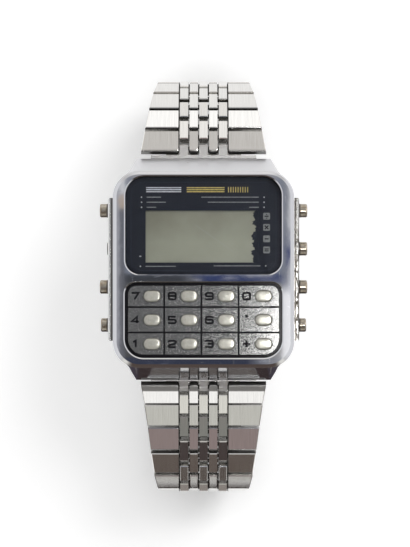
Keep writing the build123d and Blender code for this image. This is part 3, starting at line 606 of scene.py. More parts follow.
@dataclass(frozen=True)
class WornNickel(Finish):
    """Warm nickel on the pushers, with a dark ring painted as the shade of a groove."""

    name: str = "worn_nickel"
    nickel: Colour = (0.38, 0.35, 0.30)
    brass: Colour = (0.28, 0.23, 0.17)
    ring_shade: Colour = (0.05, 0.04, 0.033)
    ring_x: float = 18.15
    ring_edge: Ramp = (0.16, 0.12)
    ring_roughness: float = 0.3
    wear: Pattern = Pattern((1.6,) * 3, 4.0, seed=3.0)
    wear_ramp: Ramp = (0.42, 0.66)
    wear_roughness: float = 0.12
    roughness: float = 0.12
    grain: Pattern = Pattern((7.0, 3.0, 3.0))
    depth_mm: float = 0.01

    def material(self) -> bpy.types.Material:
        """Builds the pushers' plate.

        Returns:
            The material.
        """
        bench = Bench(bpy.data.materials.new(self.name))
        # painted shade: a dark ring where the pusher's groove would lie in shade
        ring = abs(abs(bench.place()[0]) - self.ring_x).rise(*self.ring_edge)
        wear = bench.noise(self.wear)
        return bench.finish({
            "Base Color": bench.layered(
                self.nickel, (wear.rise(*self.wear_ramp), self.brass), (ring, self.ring_shade)
            ),
            "Metallic": 1.0,
            "Roughness": wear * self.wear_roughness + self.roughness + ring * self.ring_roughness,
            "Normal": bench.bump(bench.noise(self.grain), self.depth_mm),
        })


@dataclass(frozen=True)
class DisplayGlass(Finish):
    """The cell's grey-green polariser, with black bleed along its right edge."""

    name: str = "grey_green_polariser"
    green: Colour = (0.45, 0.445, 0.31)
    brown: Colour = (0.24, 0.225, 0.145)
    scratch: Colour = (0.50, 0.50, 0.42)
    bleed: Colour = (0.008, 0.009, 0.012)
    roughness: float = 0.42
    gloss: float = 0.15
    bleed_x: Ramp = (9.31, 9.39)
    ragged: Pattern = Pattern((0.0, 0.9, 0.0), 4.0, seed=2.4)
    ragged_mm: float = 3.4
    lobes: Pattern = Pattern((0.0, 3.1, 0.0), 2.0, seed=5.1)
    lobes_mm: float = 0.9
    cloud: Pattern = Pattern((0.12,) * 3, seed=1.2)
    cloud_ramp: Ramp = (0.35, 0.7)
    warm_top_y: Ramp = (5.0, 11.5)
    warm_left_x: Ramp = (-5.0, -11.5)
    top_left_cloud: Triple = (0.7, 0.2, 0.4)
    warm_ramp: Ramp = (0.1, 1.1)
    scratch_side: Point = (0.574, 0.819)
    scratch_offset: float = 5.95
    scratch_edge: Ramp = (0.14, 0.04)
    scratch_span: Point = (-5.97, 2.27)
    scratch_soft: float = 1.2
    scratch_share: float = 0.16
    grain: Pattern = Pattern((5.0,) * 3, 2.0)
    depth_mm: float = 0.003

    def material(self) -> bpy.types.Material:
        """Builds the polariser.

        Returns:
            The material.
        """
        bench = Bench(bpy.data.materials.new(self.name))
        x, y, _ = bench.place()
        edge = x + (NOISE_MIDDLE - bench.noise(self.ragged)) * self.ragged_mm
        edge = edge + (NOISE_MIDDLE - bench.noise(self.lobes)) * self.lobes_mm
        top, left, cloud = self.top_left_cloud
        warm = y.rise(*self.warm_top_y) * top + x.rise(*self.warm_left_x) * left
        warm = (warm + bench.noise(self.cloud).rise(*self.cloud_ramp) * cloud).rise(*self.warm_ramp)
        aside = abs(x * self.scratch_side[0] + y * self.scratch_side[1] - self.scratch_offset)
        along = x * self.scratch_side[1] - y * self.scratch_side[0]
        scratch = aside.rise(*self.scratch_edge) * along.between(*self.scratch_span, self.scratch_soft)
        return bench.finish({
            "Base Color": bench.layered(
                self.green, (warm, self.brown), (scratch * self.scratch_share, self.scratch),
                (edge.rise(*self.bleed_x), self.bleed),
            ),
            "Roughness": self.roughness,
            "Specular IOR Level": self.gloss,
            "Normal": bench.bump(bench.noise(self.grain), self.depth_mm),
        })


@dataclass(frozen=True)
class ClearCrystal(Finish):
    """Clear mineral glass that shows what lies under it and a weak reflection."""

    name: str = "clear_crystal"
    tint: Colour = (0.96, 0.97, 1.0)
    mirror_tint: Colour = (0.9, 0.93, 1.0)
    mirror_roughness: float = 0.04
    mirror_share: float = 0.4
    index: float = 1.5

    def material(self) -> bpy.types.Material:
        """Builds the glass as a see-through layer under a weak mirror.

        Returns:
            The material.
        """
        bench = Bench(bpy.data.materials.new(self.name))
        clear = bench.socket("ShaderNodeBsdfTransparent", {}, {"Color": self.tint})
        mirror = bench.socket("ShaderNodeBsdfPrincipled", {}, {
            "Base Color": self.mirror_tint, "Metallic": 1.0, "Roughness": self.mirror_roughness,
        })
        share = bench.signal("ShaderNodeFresnel", {}, {"IOR": self.index}) * self.mirror_share
        return bench.surface(bench.socket("ShaderNodeMixShader", {}, {0: share, 1: clear, 2: mirror}))


@dataclass(frozen=True)
class Ink(Finish):
    """A printed mark, slightly worn."""

    name: str
    colour: Colour
    metallic: float = 0.0
    fading: float = 0.28
    wear: Pattern = Pattern((2.2,) * 3)
    wear_ramp: Ramp = (0.35, 0.65)
    roughness: float = 0.5
    gloss: float = 0.08

    def material(self) -> bpy.types.Material:
        """Builds the ink.

        Returns:
            The material.
        """
        bench = Bench(bpy.data.materials.new(self.name))
        wear = bench.noise(self.wear).rise(*self.wear_ramp)
        return bench.finish({
            "Base Color": bench.blend(wear, scaled(self.colour, 1.0 - self.fading), self.colour),
            "Metallic": self.metallic,
            "Roughness": self.roughness,
            "Specular IOR Level": self.gloss,
        })


class Inks(Enum):
    """The inks that the marks and the characters are printed in."""

    WHITE = Ink("white_ink", (0.62, 0.63, 0.62))
    GREY = Ink("grey_ink", (0.30, 0.31, 0.30))
    SILVER = Ink("silver_ink", (0.66, 0.67, 0.68), 0.3)
    GOLD = Ink("gold_ink", (0.62, 0.50, 0.16), 0.3)
    BOX = Ink("box_ink", (0.30, 0.31, 0.29))
    SIGN = Ink("sign_ink", (0.008, 0.008, 0.012))
    OUTLINE = Ink("outline_ink", (0.035, 0.04, 0.055))
    DIGIT = Ink("digit_ink", (0.006, 0.006, 0.008))


def dress(nodes: list[str], finish: Finish) -> None:
    """Gives CAD nodes a finish in place of the one they were packed with.

    Args:
        nodes: the nodes' names.
        finish: their finish.
    """
    material = finish.material()
    for name in nodes:
        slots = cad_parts[name].data.materials
        slots.clear()
        slots.append(material)
        log.info("%s: %s", name, material.name)


def box_mm(node: str) -> tuple[Vector, Vector]:
    """The low and the high corner of a CAD node's box, in millimetres."""
    return tuple(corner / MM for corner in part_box(node))


def new_object(name: str, shape: bmesh.types.BMesh) -> bpy.types.Object:
    """Makes a finished mesh an object of the scene.

    Args:
        name: the object's name.
        shape: its mesh, in place and in metres; it is freed.

    Returns:
        The object, at the origin and with no finish yet.
    """
    mesh = bpy.data.meshes.new(name)
    shape.to_mesh(mesh)
    shape.free()
    made = bpy.data.objects.new(name, mesh)
    bpy.context.scene.collection.objects.link(made)
    return made


def add_print(name: str, draw: Callable[[bmesh.types.BMesh], None], material: bpy.types.Material) -> None:
    """Adds a printed piece that rides on the case.

    Args:
        name: the piece's name.
        draw: draws its marks into a mesh, in place and in metres.
        material: its finish.
    """
    shape = bmesh.new()
    draw(shape)
    bmesh.ops.recalc_face_normals(shape, faces=shape.faces)
    piece = new_object(name, shape)
    piece.data.materials.append(material)
    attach(piece, "case")
    log.info("%s is printed in %s", name, material.name)


def rounded_path(points: list[Point], radius: float, closed: bool) -> list[Point]:
    """Cuts each corner of a path with a short arc.

    Args:
        points: the corners.
        radius: how far from a corner its arc starts.
        closed: whether the path returns to its start.

    Returns:
        The points of the rounded path.
    """
    made = []
    count = len(points)
    for index, point in enumerate(points):
        if not closed and index in (0, count - 1):
            made.append(point)
            continue
        here = Vector(point)
        before = Vector(points[index - 1]) - here
        after = Vector(points[(index + 1) % count]) - here
        start = here + before.normalized() * min(radius, before.length / 2)
        end = here + after.normalized() * min(radius, after.length / 2)
        for share in CORNER_SHARES:
            spot = start.lerp(here, share).lerp(here.lerp(end, share), share)
            made.append((spot.x, spot.y))
    return made


@dataclass(frozen=True)
class Print:
    """A layer of ink on a level surface: the surface's height and the ink's thickness."""

    low_z: float
    thickness: float = 0.02

    def stacked(self, layers: float) -> "Print":
        """The same ink, printed over a number of layers."""
        return Print(self.low_z + layers * self.thickness, self.thickness)

    def thicken(self, shape: bmesh.types.BMesh, faces: list[bmesh.types.BMFace]) -> None:
        """Turns flat faces into a closed layer.

        Args:
            shape: the mesh.
            faces: the faces on the surface, which become the layer's underside.
        """
        raised = bmesh.ops.extrude_face_region(shape, geom=faces, use_keep_orig=True)
        moved = [part for part in raised["geom"] if isinstance(part, bmesh.types.BMVert)]
        bmesh.ops.translate(shape, verts=moved, vec=(0.0, 0.0, self.thickness * MM))

    def line(self, shape: bmesh.types.BMesh, path: list[Point], width: float, closed: bool = False) -> None:
        """Adds a line.

        Args:
            shape: the mesh.
            path: the line's points, in millimetres.
            width: the line's width.
            closed: whether the path returns to its start.
        """
        count = len(path)
        rails = []
        for index, point in enumerate(path):
            here = Vector(point)
            first = index == 0 and not closed
            last = index == count - 1 and not closed
            before = here - Vector(path[index - 1]) if not first else Vector(path[1]) - here
            after = Vector(path[(index + 1) % count]) - here if not last else before
            along = (before.normalized() + after.normalized()).normalized()
            across = Vector((-along.y, along.x)) * width / 2
            across /= max(LEAST_MITRE, abs(along.dot(after.normalized())))
            spots = (here + across, here - across)
            rails.append([shape.verts.new((spot.x * MM, spot.y * MM, self.low_z * MM)) for spot in spots])
        pairs = zip(rails, rails[1:] + rails[:1] if closed else rails[1:])
        self.thicken(shape, [shape.faces.new((a[0], b[0], b[1], a[1])) for a, b in pairs])

    def dot(self, shape: bmesh.types.BMesh, centre: Point, radius: float) -> None:
        """Adds a dot.

        Args:
            shape: the mesh.
            centre: the dot's centre, in millimetres.
            radius: its radius.
        """
        place = Matrix.Translation((centre[0] * MM, centre[1] * MM, (self.low_z + self.thickness / 2) * MM))
        bmesh.ops.create_cone(
            shape, cap_ends=True, segments=DOT_SEGMENTS, radius1=radius * MM, radius2=radius * MM,
            depth=self.thickness * MM, matrix=place,
        )

    def plate(self, shape: bmesh.types.BMesh, centre: Point, side: float, radius: float) -> None:
        """Adds a square with rounded corners.

        Args:
            shape: the mesh.
            centre: its centre, in millimetres.
            side: its width and height.
            radius: the rounding of its corners.
        """
        corners = [
            (centre[0] + u * side / 2, centre[1] + v * side / 2)
            for u, v in ((-1, -1), (1, -1), (1, 1), (-1, 1))
        ]
        path = rounded_path(corners, radius, True)
        ring = [shape.verts.new((x * MM, y * MM, self.low_z * MM)) for x, y in path]
        self.thicken(shape, [shape.faces.new(ring)])


class Sign(Enum):
    """The arithmetic signs in the boxes beside the display, as strokes in shares of the box."""

    DIVIDE = (((-0.3, 0.0), (0.3, 0.0)), ((0.0, 0.2), (0.0, 0.34)), ((0.0, -0.34), (0.0, -0.2)))
    TIMES = (((-0.26, -0.26), (0.26, 0.26)), ((-0.26, 0.26), (0.26, -0.26)))
    MINUS = (((-0.3, 0.0), (0.3, 0.0)),)
    EQUALS = (((-0.3, 0.14), (0.3, 0.14)), ((-0.3, -0.14), (0.3, -0.14)))


@dataclass
class Display:
    """Crystal, printed mask and liquid crystal cell, with the marks printed behind the glass."""

    ink: Print = Print(35.505)
    mask: MouldedPart = MouldedPart("black_print", (0.018, 0.020, 0.026), 0.4, 3.0, 0.0, gloss=0.12)
    dot_radius: float = 0.13
    dots_top_y: tuple[float, ...] = (13.57, 12.62, 11.67)
    dots_x: Point = (-11.66, 11.4)
    dots_bottom: tuple[Point, ...] = ((-11.87, 0.56), (11.7, 0.65))
    dash: Triple = (-12.05, -11.7, 2.45)
    box_x: float = 11.87
    box_ys: tuple[float, ...] = (9.98, 7.89, 5.73, 3.64)
    box_size: float = 1.28
    box_radius: float = 0.22
    sign_width: float = 0.22
    rule_width: float = 0.17
    rules: tuple[Triple, ...] = (
        (-10.7, -8.0, 13.57), (-10.7, -7.1, 12.62), (-10.7, -8.9, 11.67),
        (-0.4, 10.4, 13.57), (0.8, 10.4, 12.62), (8.6, 10.4, 11.67),
        (-10.9, -5.2, 0.56), (1.9, 10.7, 0.65),
    )
    stripe_ys: tuple[float, ...] = (15.36, 14.98, 14.60)
    stripe_width: float = 0.2
    silver_span: Point = (-10.8, -4.2)
    gold_span: Point = (-3.15, 3.95)
    tick_xs: tuple[float, ...] = (4.7, 5.15, 5.6, 6.05, 6.5, 6.95, 7.4, 7.85, 8.3)
    tick_span: Point = (14.46, 15.5)
    tick_width: float = 0.17
    outline_inset: float = 1.0
    outline_inset_below: float = 0.6
    outline_radius: float = 2.6
    outline_width: float = 0.1

    def build(self) -> None:
        """Dresses the display's nodes and adds the printed marks."""
        dress(["crystal"], ClearCrystal())
        dress(["display_mask"], self.mask)
        dress(["lcd_cell"], DisplayGlass())
        for name, ink, draw in (
            ("display_dots", Inks.WHITE, self.draw_dots),
            ("display_rules", Inks.GREY, self.draw_rules),
            ("display_silver_stripes", Inks.SILVER, self.draw_silver),
            ("display_gold_stripes", Inks.GOLD, self.draw_gold),
            ("display_sign_boxes", Inks.BOX, self.draw_boxes),
            ("display_signs", Inks.SIGN, self.draw_signs),
            ("display_outline", Inks.OUTLINE, self.draw_outline),
        ):
            add_print(name, draw, ink.value.material())

    def draw_level(self, shape: bmesh.types.BMesh, span: Triple, width: float) -> None:
        """Draws a line along x, given by its start, its end and its y."""
        start, end, y = span
        self.ink.line(shape, [(start, y), (end, y)], width)

    def draw_dots(self, shape: bmesh.types.BMesh) -> None:
        """Draws the dots that mark the pushers, and the small dash.

        Args:
            shape: the mesh of the dots.
        """
        for centre in (*((x, y) for x in self.dots_x for y in self.dots_top_y), *self.dots_bottom):
            self.ink.dot(shape, centre, self.dot_radius)
        self.draw_level(shape, self.dash, self.rule_width)

    def draw_rules(self, shape: bmesh.types.BMesh) -> None:
        """Draws a thin line beside each dot."""
        for rule in self.rules:
            self.draw_level(shape, rule, self.rule_width)

    def draw_silver(self, shape: bmesh.types.BMesh) -> None:
        """Draws the silver stripes."""
        for y in self.stripe_ys:
            self.draw_level(shape, (*self.silver_span, y), self.stripe_width)

    def draw_gold(self, shape: bmesh.types.BMesh) -> None:
        """Draws the gold stripes and the row of ticks beside them.

        Args:
            shape: the mesh of the stripes.
        """
        for y in self.stripe_ys:
            self.draw_level(shape, (*self.gold_span, y), self.stripe_width)
        for x in self.tick_xs:
            self.ink.line(shape, [(x, y) for y in self.tick_span], self.tick_width)

    def draw_boxes(self, shape: bmesh.types.BMesh) -> None:
        """Draws the rounded boxes of the arithmetic signs."""
        for y in self.box_ys:
            self.ink.plate(shape, (self.box_x, y), self.box_size, self.box_radius)

    def draw_signs(self, shape: bmesh.types.BMesh) -> None:
        """Draws a sign over each box.

        Args:
            shape: the mesh of the signs.
        """
        for y, sign in zip(self.box_ys, Sign):
            for stroke in sign.value:
                path = [(self.box_x + u * self.box_size, y + v * self.box_size) for u, v in stroke]
                self.ink.stacked(1.0).line(shape, path, self.sign_width)

    def draw_outline(self, shape: bmesh.types.BMesh) -> None:
        """Draws the faint line inside the edge of the glass.

        Args:
            shape: the mesh of the line.
        """
        low, high = box_mm("crystal")
        left, bottom = low.x + self.outline_inset, low.y + self.outline_inset_below
        right, top = high.x - self.outline_inset, high.y - self.outline_inset
        corners = [(left, bottom), (left, top), (right, top), (right, bottom)]
        path = rounded_path(corners, self.outline_radius, True)
        self.ink.line(shape, path, self.outline_width, closed=True)


class Digit(Enum):
    """The characters beside the keys, as strokes in shares of their box."""

    SEVEN = ("7", (((0.0, 1.0), (1.0, 1.0), (0.42, 0.0)),))
    EIGHT = ("8", (((0.0, 0.0), (0.0, 1.0), (1.0, 1.0), (1.0, 0.0)), ((0.0, 0.53), (1.0, 0.53))))
    NINE = ("9", (((0.0, 0.18), (0.0, 0.0), (1.0, 0.0), (1.0, 1.0), (0.0, 1.0), (0.0, 0.46), (1.0, 0.46)),))
    ZERO = ("0", (((0.0, 0.0), (0.0, 1.0), (1.0, 1.0), (1.0, 0.0)),))
    FOUR = ("4", (((0.78, 0.0), (0.78, 1.0), (0.0, 0.28), (1.1, 0.28)),))
    FIVE = ("5", (((1.0, 1.0), (-0.13, 1.0)), ((0.0, 1.0), (0.0, 0.55)),
                  ((-0.13, 0.55), (1.0, 0.55), (1.0, 0.0), (0.0, 0.0), (0.0, 0.18))))
    SIX = ("6", (((1.0, 0.84), (1.0, 1.0), (0.0, 1.0), (0.0, 0.0), (1.0, 0.0), (1.0, 0.56), (0.0, 0.56)),))
    POINT = ("point", ())
    ONE = ("1", (((0.22, 0.8), (0.6, 1.0), (0.6, 0.0)),))
    TWO = ("2", (((0.0, 0.76), (0.0, 1.0), (1.0, 1.0), (1.0, 0.54), (0.0, 0.3), (0.0, 0.0), (1.0, 0.0)),))
    THREE = ("3", (((0.0, 0.82), (0.0, 1.0), (1.0, 1.0), (1.0, 0.0), (0.0, 0.0), (0.0, 0.18)),
                   ((0.25, 0.53), (1.0, 0.53))))
    PLUS = ("plus", (((0.0, 0.5), (1.0, 0.5)), ((0.5, -0.03), (0.5, 1.03))))


@dataclass
class Keypad:
    """The painted keypad plate with its printed characters, and the keys."""

    digit_size: Point = (1.3, 1.2)
    digit_offset: float = -3.2
    stroke_width: float = 0.36
    corner_radius: float = 0.34
    ringed: tuple[Digit, ...] = (Digit.ZERO, Digit.EIGHT)
    sharp: tuple[Digit, ...] = (Digit.SEVEN, Digit.FOUR, Digit.ONE)
    dot_radius: float = 0.3
    dot_rise: float = 0.7
    line_width: float = 0.34
    line_xs: tuple[float, ...] = (-7.38, -0.40, 6.58)
    line_ys: tuple[float, ...] = (-11.865, -7.095)
    border: float = 0.6
    level_line_share: float = 0.5

    def build(self) -> None:
        """Dresses the plate and the keys, and prints the characters and the ruled lines."""
        dress(["keypad_plate"], KeypadPaint())
        dress([f"key_{digit.value[0]}" for digit in Digit], self.key_paint())
        black = Inks.DIGIT.value.material()
        add_print("keypad_digits", self.draw_digits, black)
        add_print("keypad_lines", self.draw_lines, black)

    def key_paint(self) -> KeyPaint:
        """Fits the keys' paint to where the keys stand in the frame.

        Returns:
            The paint, with its domes over the keys.
        """
        (low, high), (beside, _), (below, _) = (box_mm(name) for name in ("key_7", "key_8", "key_4"))
        middle, size = (low + high) / 2, high - low
        return KeyPaint(
            centre=(middle.x, middle.y), pitch=(beside.x - low.x, low.y - below.y), size=(size.x, size.y)
        )

    def ink(self) -> Print:
        """The layer of ink on the plate."""
        return Print(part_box("keypad_plate")[1].z / MM)

    def draw_lines(self, shape: bmesh.types.BMesh) -> None:
        """Draws the black lines that fill the ruled grooves, up to the plate's border.

        Args:
            shape: the mesh of all lines.
        """
        low, high = box_mm("keypad_plate")
        ink = self.ink()
        thin = Print(ink.low_z, ink.thickness * self.level_line_share)
        for x in self.line_xs:
            ends = (low.y + self.border, high.y - self.border)
            ink.line(shape, [(x, y) for y in ends], self.line_width)
        for y in self.line_ys:
            ends = (low.x + self.border, high.x - self.border)
            thin.line(shape, [(x, y) for x in ends], self.line_width)

    def draw_digits(self, shape: bmesh.types.BMesh) -> None:
        """Draws all characters.

        Args:
            shape: the mesh of all characters.
        """
        ink = self.ink()
        for digit in Digit:
            self.draw_digit(shape, digit, ink)

    def draw_digit(self, shape: bmesh.types.BMesh, digit: Digit, ink: Print) -> None:
        """Draws one character to the left of its key.

        Args:
            shape: the mesh of all characters.
            digit: the character.
            ink: the layer of ink on the plate.
        """
        name, strokes = digit.value
        low, high = box_mm(f"key_{name}")
        middle = (low + high) / 2
        width, height = self.digit_size
        if digit is Digit.POINT:
            ink.dot(shape, (middle.x + self.digit_offset, middle.y + self.dot_rise), self.dot_radius)
        left, bottom = middle.x + self.digit_offset - width / 2, middle.y - height / 2
        for stroke in strokes:
            path = [(left + u * width, bottom + v * height) for u, v in stroke]
            closed = len(stroke) == RING_CORNERS and digit in self.ringed
            path = path if digit in self.sharp else rounded_path(path, self.corner_radius, closed)
            ink.line(shape, path, self.stroke_width, closed)


@dataclass
class Case:
    """Case body, back, gasket and pushers."""

    back_steel: BrushedSteel = BrushedSteel("back_steel", (0.62, 0.62, 0.62), (0.3, 5.0, 0.3), 0.3)
    screw_steel: BrushedSteel = BrushedSteel("screw_steel", (0.58, 0.58, 0.58), (4.0, 4.0, 4.0))
    gasket_rubber: MouldedPart = MouldedPart("gasket_rubber", (0.02, 0.02, 0.02), 0.7)
    pusher_rows: tuple[int, ...] = (1, 2, 3, 4)

    def build(self) -> None:
        """Dresses the nodes of the case."""
        dress(["case_body"], PlatedCase())
        dress(["case_back"], self.back_steel)
        dress(["case_back_screws"], self.screw_steel)
        dress(["case_back_gasket"], self.gasket_rubber)
        pushers = [f"pusher_{side}_{row}" for side in ("right", "left") for row in self.pusher_rows]
        dress(pushers, WornNickel())


@dataclass
class Inside:
    """The parts within the case, seen only where the case is taken apart."""

    steel_lines: Triple = (3.0, 0.5, 0.5)
    steel_roughness: float = 0.28
    steel_parts: tuple[tuple[str, str, Colour], ...] = (
        ("battery_cell", "battery_steel", (0.70, 0.70, 0.68)),
        ("battery_clip", "clip_steel", (0.62, 0.61, 0.58)),
        ("buzzer_disc", "buzzer_brass", (0.70, 0.52, 0.22)),
        ("pusher_springs", "spring_steel", (0.60, 0.60, 0.60)),
        ("lug_spring_bars", "bar_steel", (0.60, 0.60, 0.60)),
    )
    moulded_parts: tuple[tuple[str, str, Colour], ...] = (
        ("module_frame", "module_plastic", (0.05, 0.05, 0.055)),
        ("circuit_board", "board_laminate", (0.06, 0.20, 0.09)),
        ("processor_chip", "chip_plastic", (0.018, 0.018, 0.02)),
        ("key_membrane", "membrane_rubber", (0.30, 0.30, 0.31)),
    )

    def build(self) -> None:
        """Dresses the inner nodes."""
        for node, name, colour in self.steel_parts:
            dress([node], BrushedSteel(name, colour, self.steel_lines, self.steel_roughness))
        for node, name, colour in self.moulded_parts:
            dress([node], MouldedPart(name, colour))


@dataclass
class Bracelet:
    """End pieces, links and clasp."""

    links_12h: int = 9
    links_6h: int = 11
    upper_steel: LinkSteel = LinkSteel("upper_link_steel", roughness=0.1)
    lower_steel: LinkSteel = LinkSteel("lower_link_steel", roughness=0.1, gap_mm=0.95)
    end_steel: BrushedSteel = BrushedSteel("end_steel", (0.43, 0.42, 0.41), roughness=0.42)
    clasp_steel: BrushedSteel = BrushedSteel("clasp_steel", lines=(0.3, 6.0, 0.3), roughness=0.26)
    flap_steel: BrushedSteel = BrushedSteel("flap_steel", lines=(6.0, 0.25, 0.25), roughness=0.24)

    def build(self) -> None:
        """Dresses the bracelet's nodes; the first link at 6 o'clock has the finish of those at 12."""
        upper = [f"link_12h_{number + 1}" for number in range(self.links_12h)]
        first, *lower = (f"link_6h_{number + 1}" for number in range(self.links_6h))
        dress([first, *upper], self.upper_steel)
        dress(lower, self.lower_steel)
        dress(["end_links"], self.end_steel)
        dress(["clasp_frame"], self.clasp_steel)
        dress(["clasp_flap"], self.flap_steel)


@dataclass(frozen=True)
class Card:
    """A toned card that lies on the floor, where only the metal mirrors it."""

    name: str
    centre: Point
    size: Point
    tone: Colour


@dataclass(frozen=True)
class Lamp:
    """A soft rectangular lamp, its place and its sides in metres and its power in watts."""

    name: str = "main_light"
    place: Triple = (0.42, 0.42, 0.75)
    size: Point = (0.40, 0.40)
    power: float = 3.1
    aim: Triple = (0.0, 0.0, 0.03)


@dataclass(frozen=True)
class Window:
    """A bright pane that hangs above the keypad's right side, where only gloss mirrors it."""

    name: str = "window"
    centre: Point = (0.040, -0.018)
    size: Point = (0.060, 0.034)
    height: float = 0.240
    tone: Colour = (32.0, 32.0, 32.0)
    faint_x: Ramp = (11.1, 24.0)
    faint: float = 0.0155
    full_x: Ramp = (24.0, 30.0)
    ends_y: Point = (-30.0, -4.0)
    soft: float = 3.0


@dataclass(frozen=True)
class DialSky:
    """The small patch of the room straight above, in millimetres of the level dial that mirrors it."""

    distance: float = 499.5
    centre: Point = (0.28, -0.79)
    reach_x: Point = (-20.0, 20.0)
    reach_y: Point = (-21.0, 22.0)
    reach_soft: float = 1.0
    reach_up: Ramp = (0.5, 0.6)
    level_streaks: Pattern = Pattern((0.10, 0.9, 0.1), 2.0, seed=2.0)
    upright_streaks: Pattern = Pattern((0.9, 0.10, 0.1), 2.0, seed=6.0)
    light: Colour = (0.92, 0.93, 0.95)
    middle: Colour = (0.28, 0.31, 0.38)
    keypad: Colour = (0.11, 0.109, 0.107)
    keypad_y: Ramp = (-2.3, -2.6)
    bar_ys: Point = (-2.45, -0.9)
    bar_soft: float = 0.1
    bar_left: Colour = (0.055, 0.06, 0.07)
    bar_right: Colour = (0.035, 0.055, 0.17)
    bar_right_x: Ramp = (-4.0, 0.5)
    bar_streaks: Ramp = (0.55, 0.62)
    bottom: Colour = (0.05, 0.06, 0.10)
    bottom_y: Ramp = (-16.4, -16.7)
    bottom_streak: Colour = (0.5, 0.55, 0.64)
    bottom_streaks: Ramp = (0.60, 0.70)
    left: Colour = (0.16, 0.165, 0.19)
    left_x: Ramp = (-14.5, -14.8)
    left_tan: Colour = (0.66, 0.53, 0.42)
    left_tan_ys: Point = (11.4, 13.8)
    left_tan_soft: float = 0.3
    left_light_y: Ramp = (13.4, 14.2)
    left_rim: Colour = (0.52, 0.53, 0.57)
    left_rim_x: Ramp = (-15.6, -15.9)
    right: Colour = (0.28, 0.30, 0.35)
    right_x: Ramp = (14.5, 14.8)
    right_rim_x: Ramp = (15.7, 16.1)
    right_low: Colour = (0.86, 0.86, 0.88)
    right_low_y: Ramp = (-3.0, -4.5)
    right_patch: Colour = (0.04, 0.06, 0.2)
    right_patches: Ramp = (0.50, 0.58)
    right_patch_ys: Point = (-4.0, 7.0)
    right_patch_soft: float = 1.5
    top: Colour = (0.47, 0.46, 0.48)
    top_y: Ramp = (17.1, 17.5)

    def over(self, bench: Bench, direction: tuple[Signal, Signal, Signal], room: bpy.types.NodeSocket,
             strength: float) -> bpy.types.NodeSocket:
        """Lays the patch over the room's tone.

        Args:
            bench: the world's bench.
            direction: the x, y and z of the way that a ray looks.
            room: the room's tone elsewhere.
            strength: the strength that the tones are shown with, which they are divided by.

        Returns:
            The socket of the room's tone with the patch.
        """
        x, y, z = direction
        across = x / z * self.distance + self.centre[0]
        along = y / z * self.distance + self.centre[1]
        near = across.between(*self.reach_x, self.reach_soft) * along.between(*self.reach_y, self.reach_soft)
        near = near * z.rise(*self.reach_up)
        level, upright = bench.noise(self.level_streaks), bench.noise(self.upright_streaks)
        bar_right = bench.blend(level.rise(*self.bar_streaks), self.bar_right, self.light)
        bar = bench.blend(across.rise(*self.bar_right_x), self.bar_left, bar_right)
        bottom = bench.blend(level.rise(*self.bottom_streaks), self.bottom, self.bottom_streak)
        left = bench.layered(
            self.left,
            (along.between(*self.left_tan_ys, self.left_tan_soft), self.left_tan),
            (along.rise(*self.left_light_y), self.light),
            (across.rise(*self.left_rim_x), self.left_rim),
        )
        patches = along.between(*self.right_patch_ys, self.right_patch_soft)
        patches = upright.rise(*self.right_patches) * patches
        right = bench.layered(
            self.right,
            (across.rise(*self.right_rim_x), self.light),
            (along.rise(*self.right_low_y), self.right_low),
            (patches, self.right_patch),
        )
        tone = bench.layered(
            self.middle,
            (along.rise(*self.keypad_y), self.keypad),
            (along.between(*self.bar_ys, self.bar_soft), bar),
            (along.rise(*self.bottom_y), bottom),
            (across.rise(*self.left_x), left),
            (across.rise(*self.right_x), right),
            (along.rise(*self.top_y), self.top),
        )
        values = {MIX_SHARE: 1.0, MIX_ONE: tone, MIX_OTHER: scaled(WHITE, 1.0 / strength)}
        settings = {"data_type": "RGBA", "blend_type": "MULTIPLY"}
        return bench.blend(near, room, bench.socket("ShaderNodeMix", settings, values, MIX_RESULT))


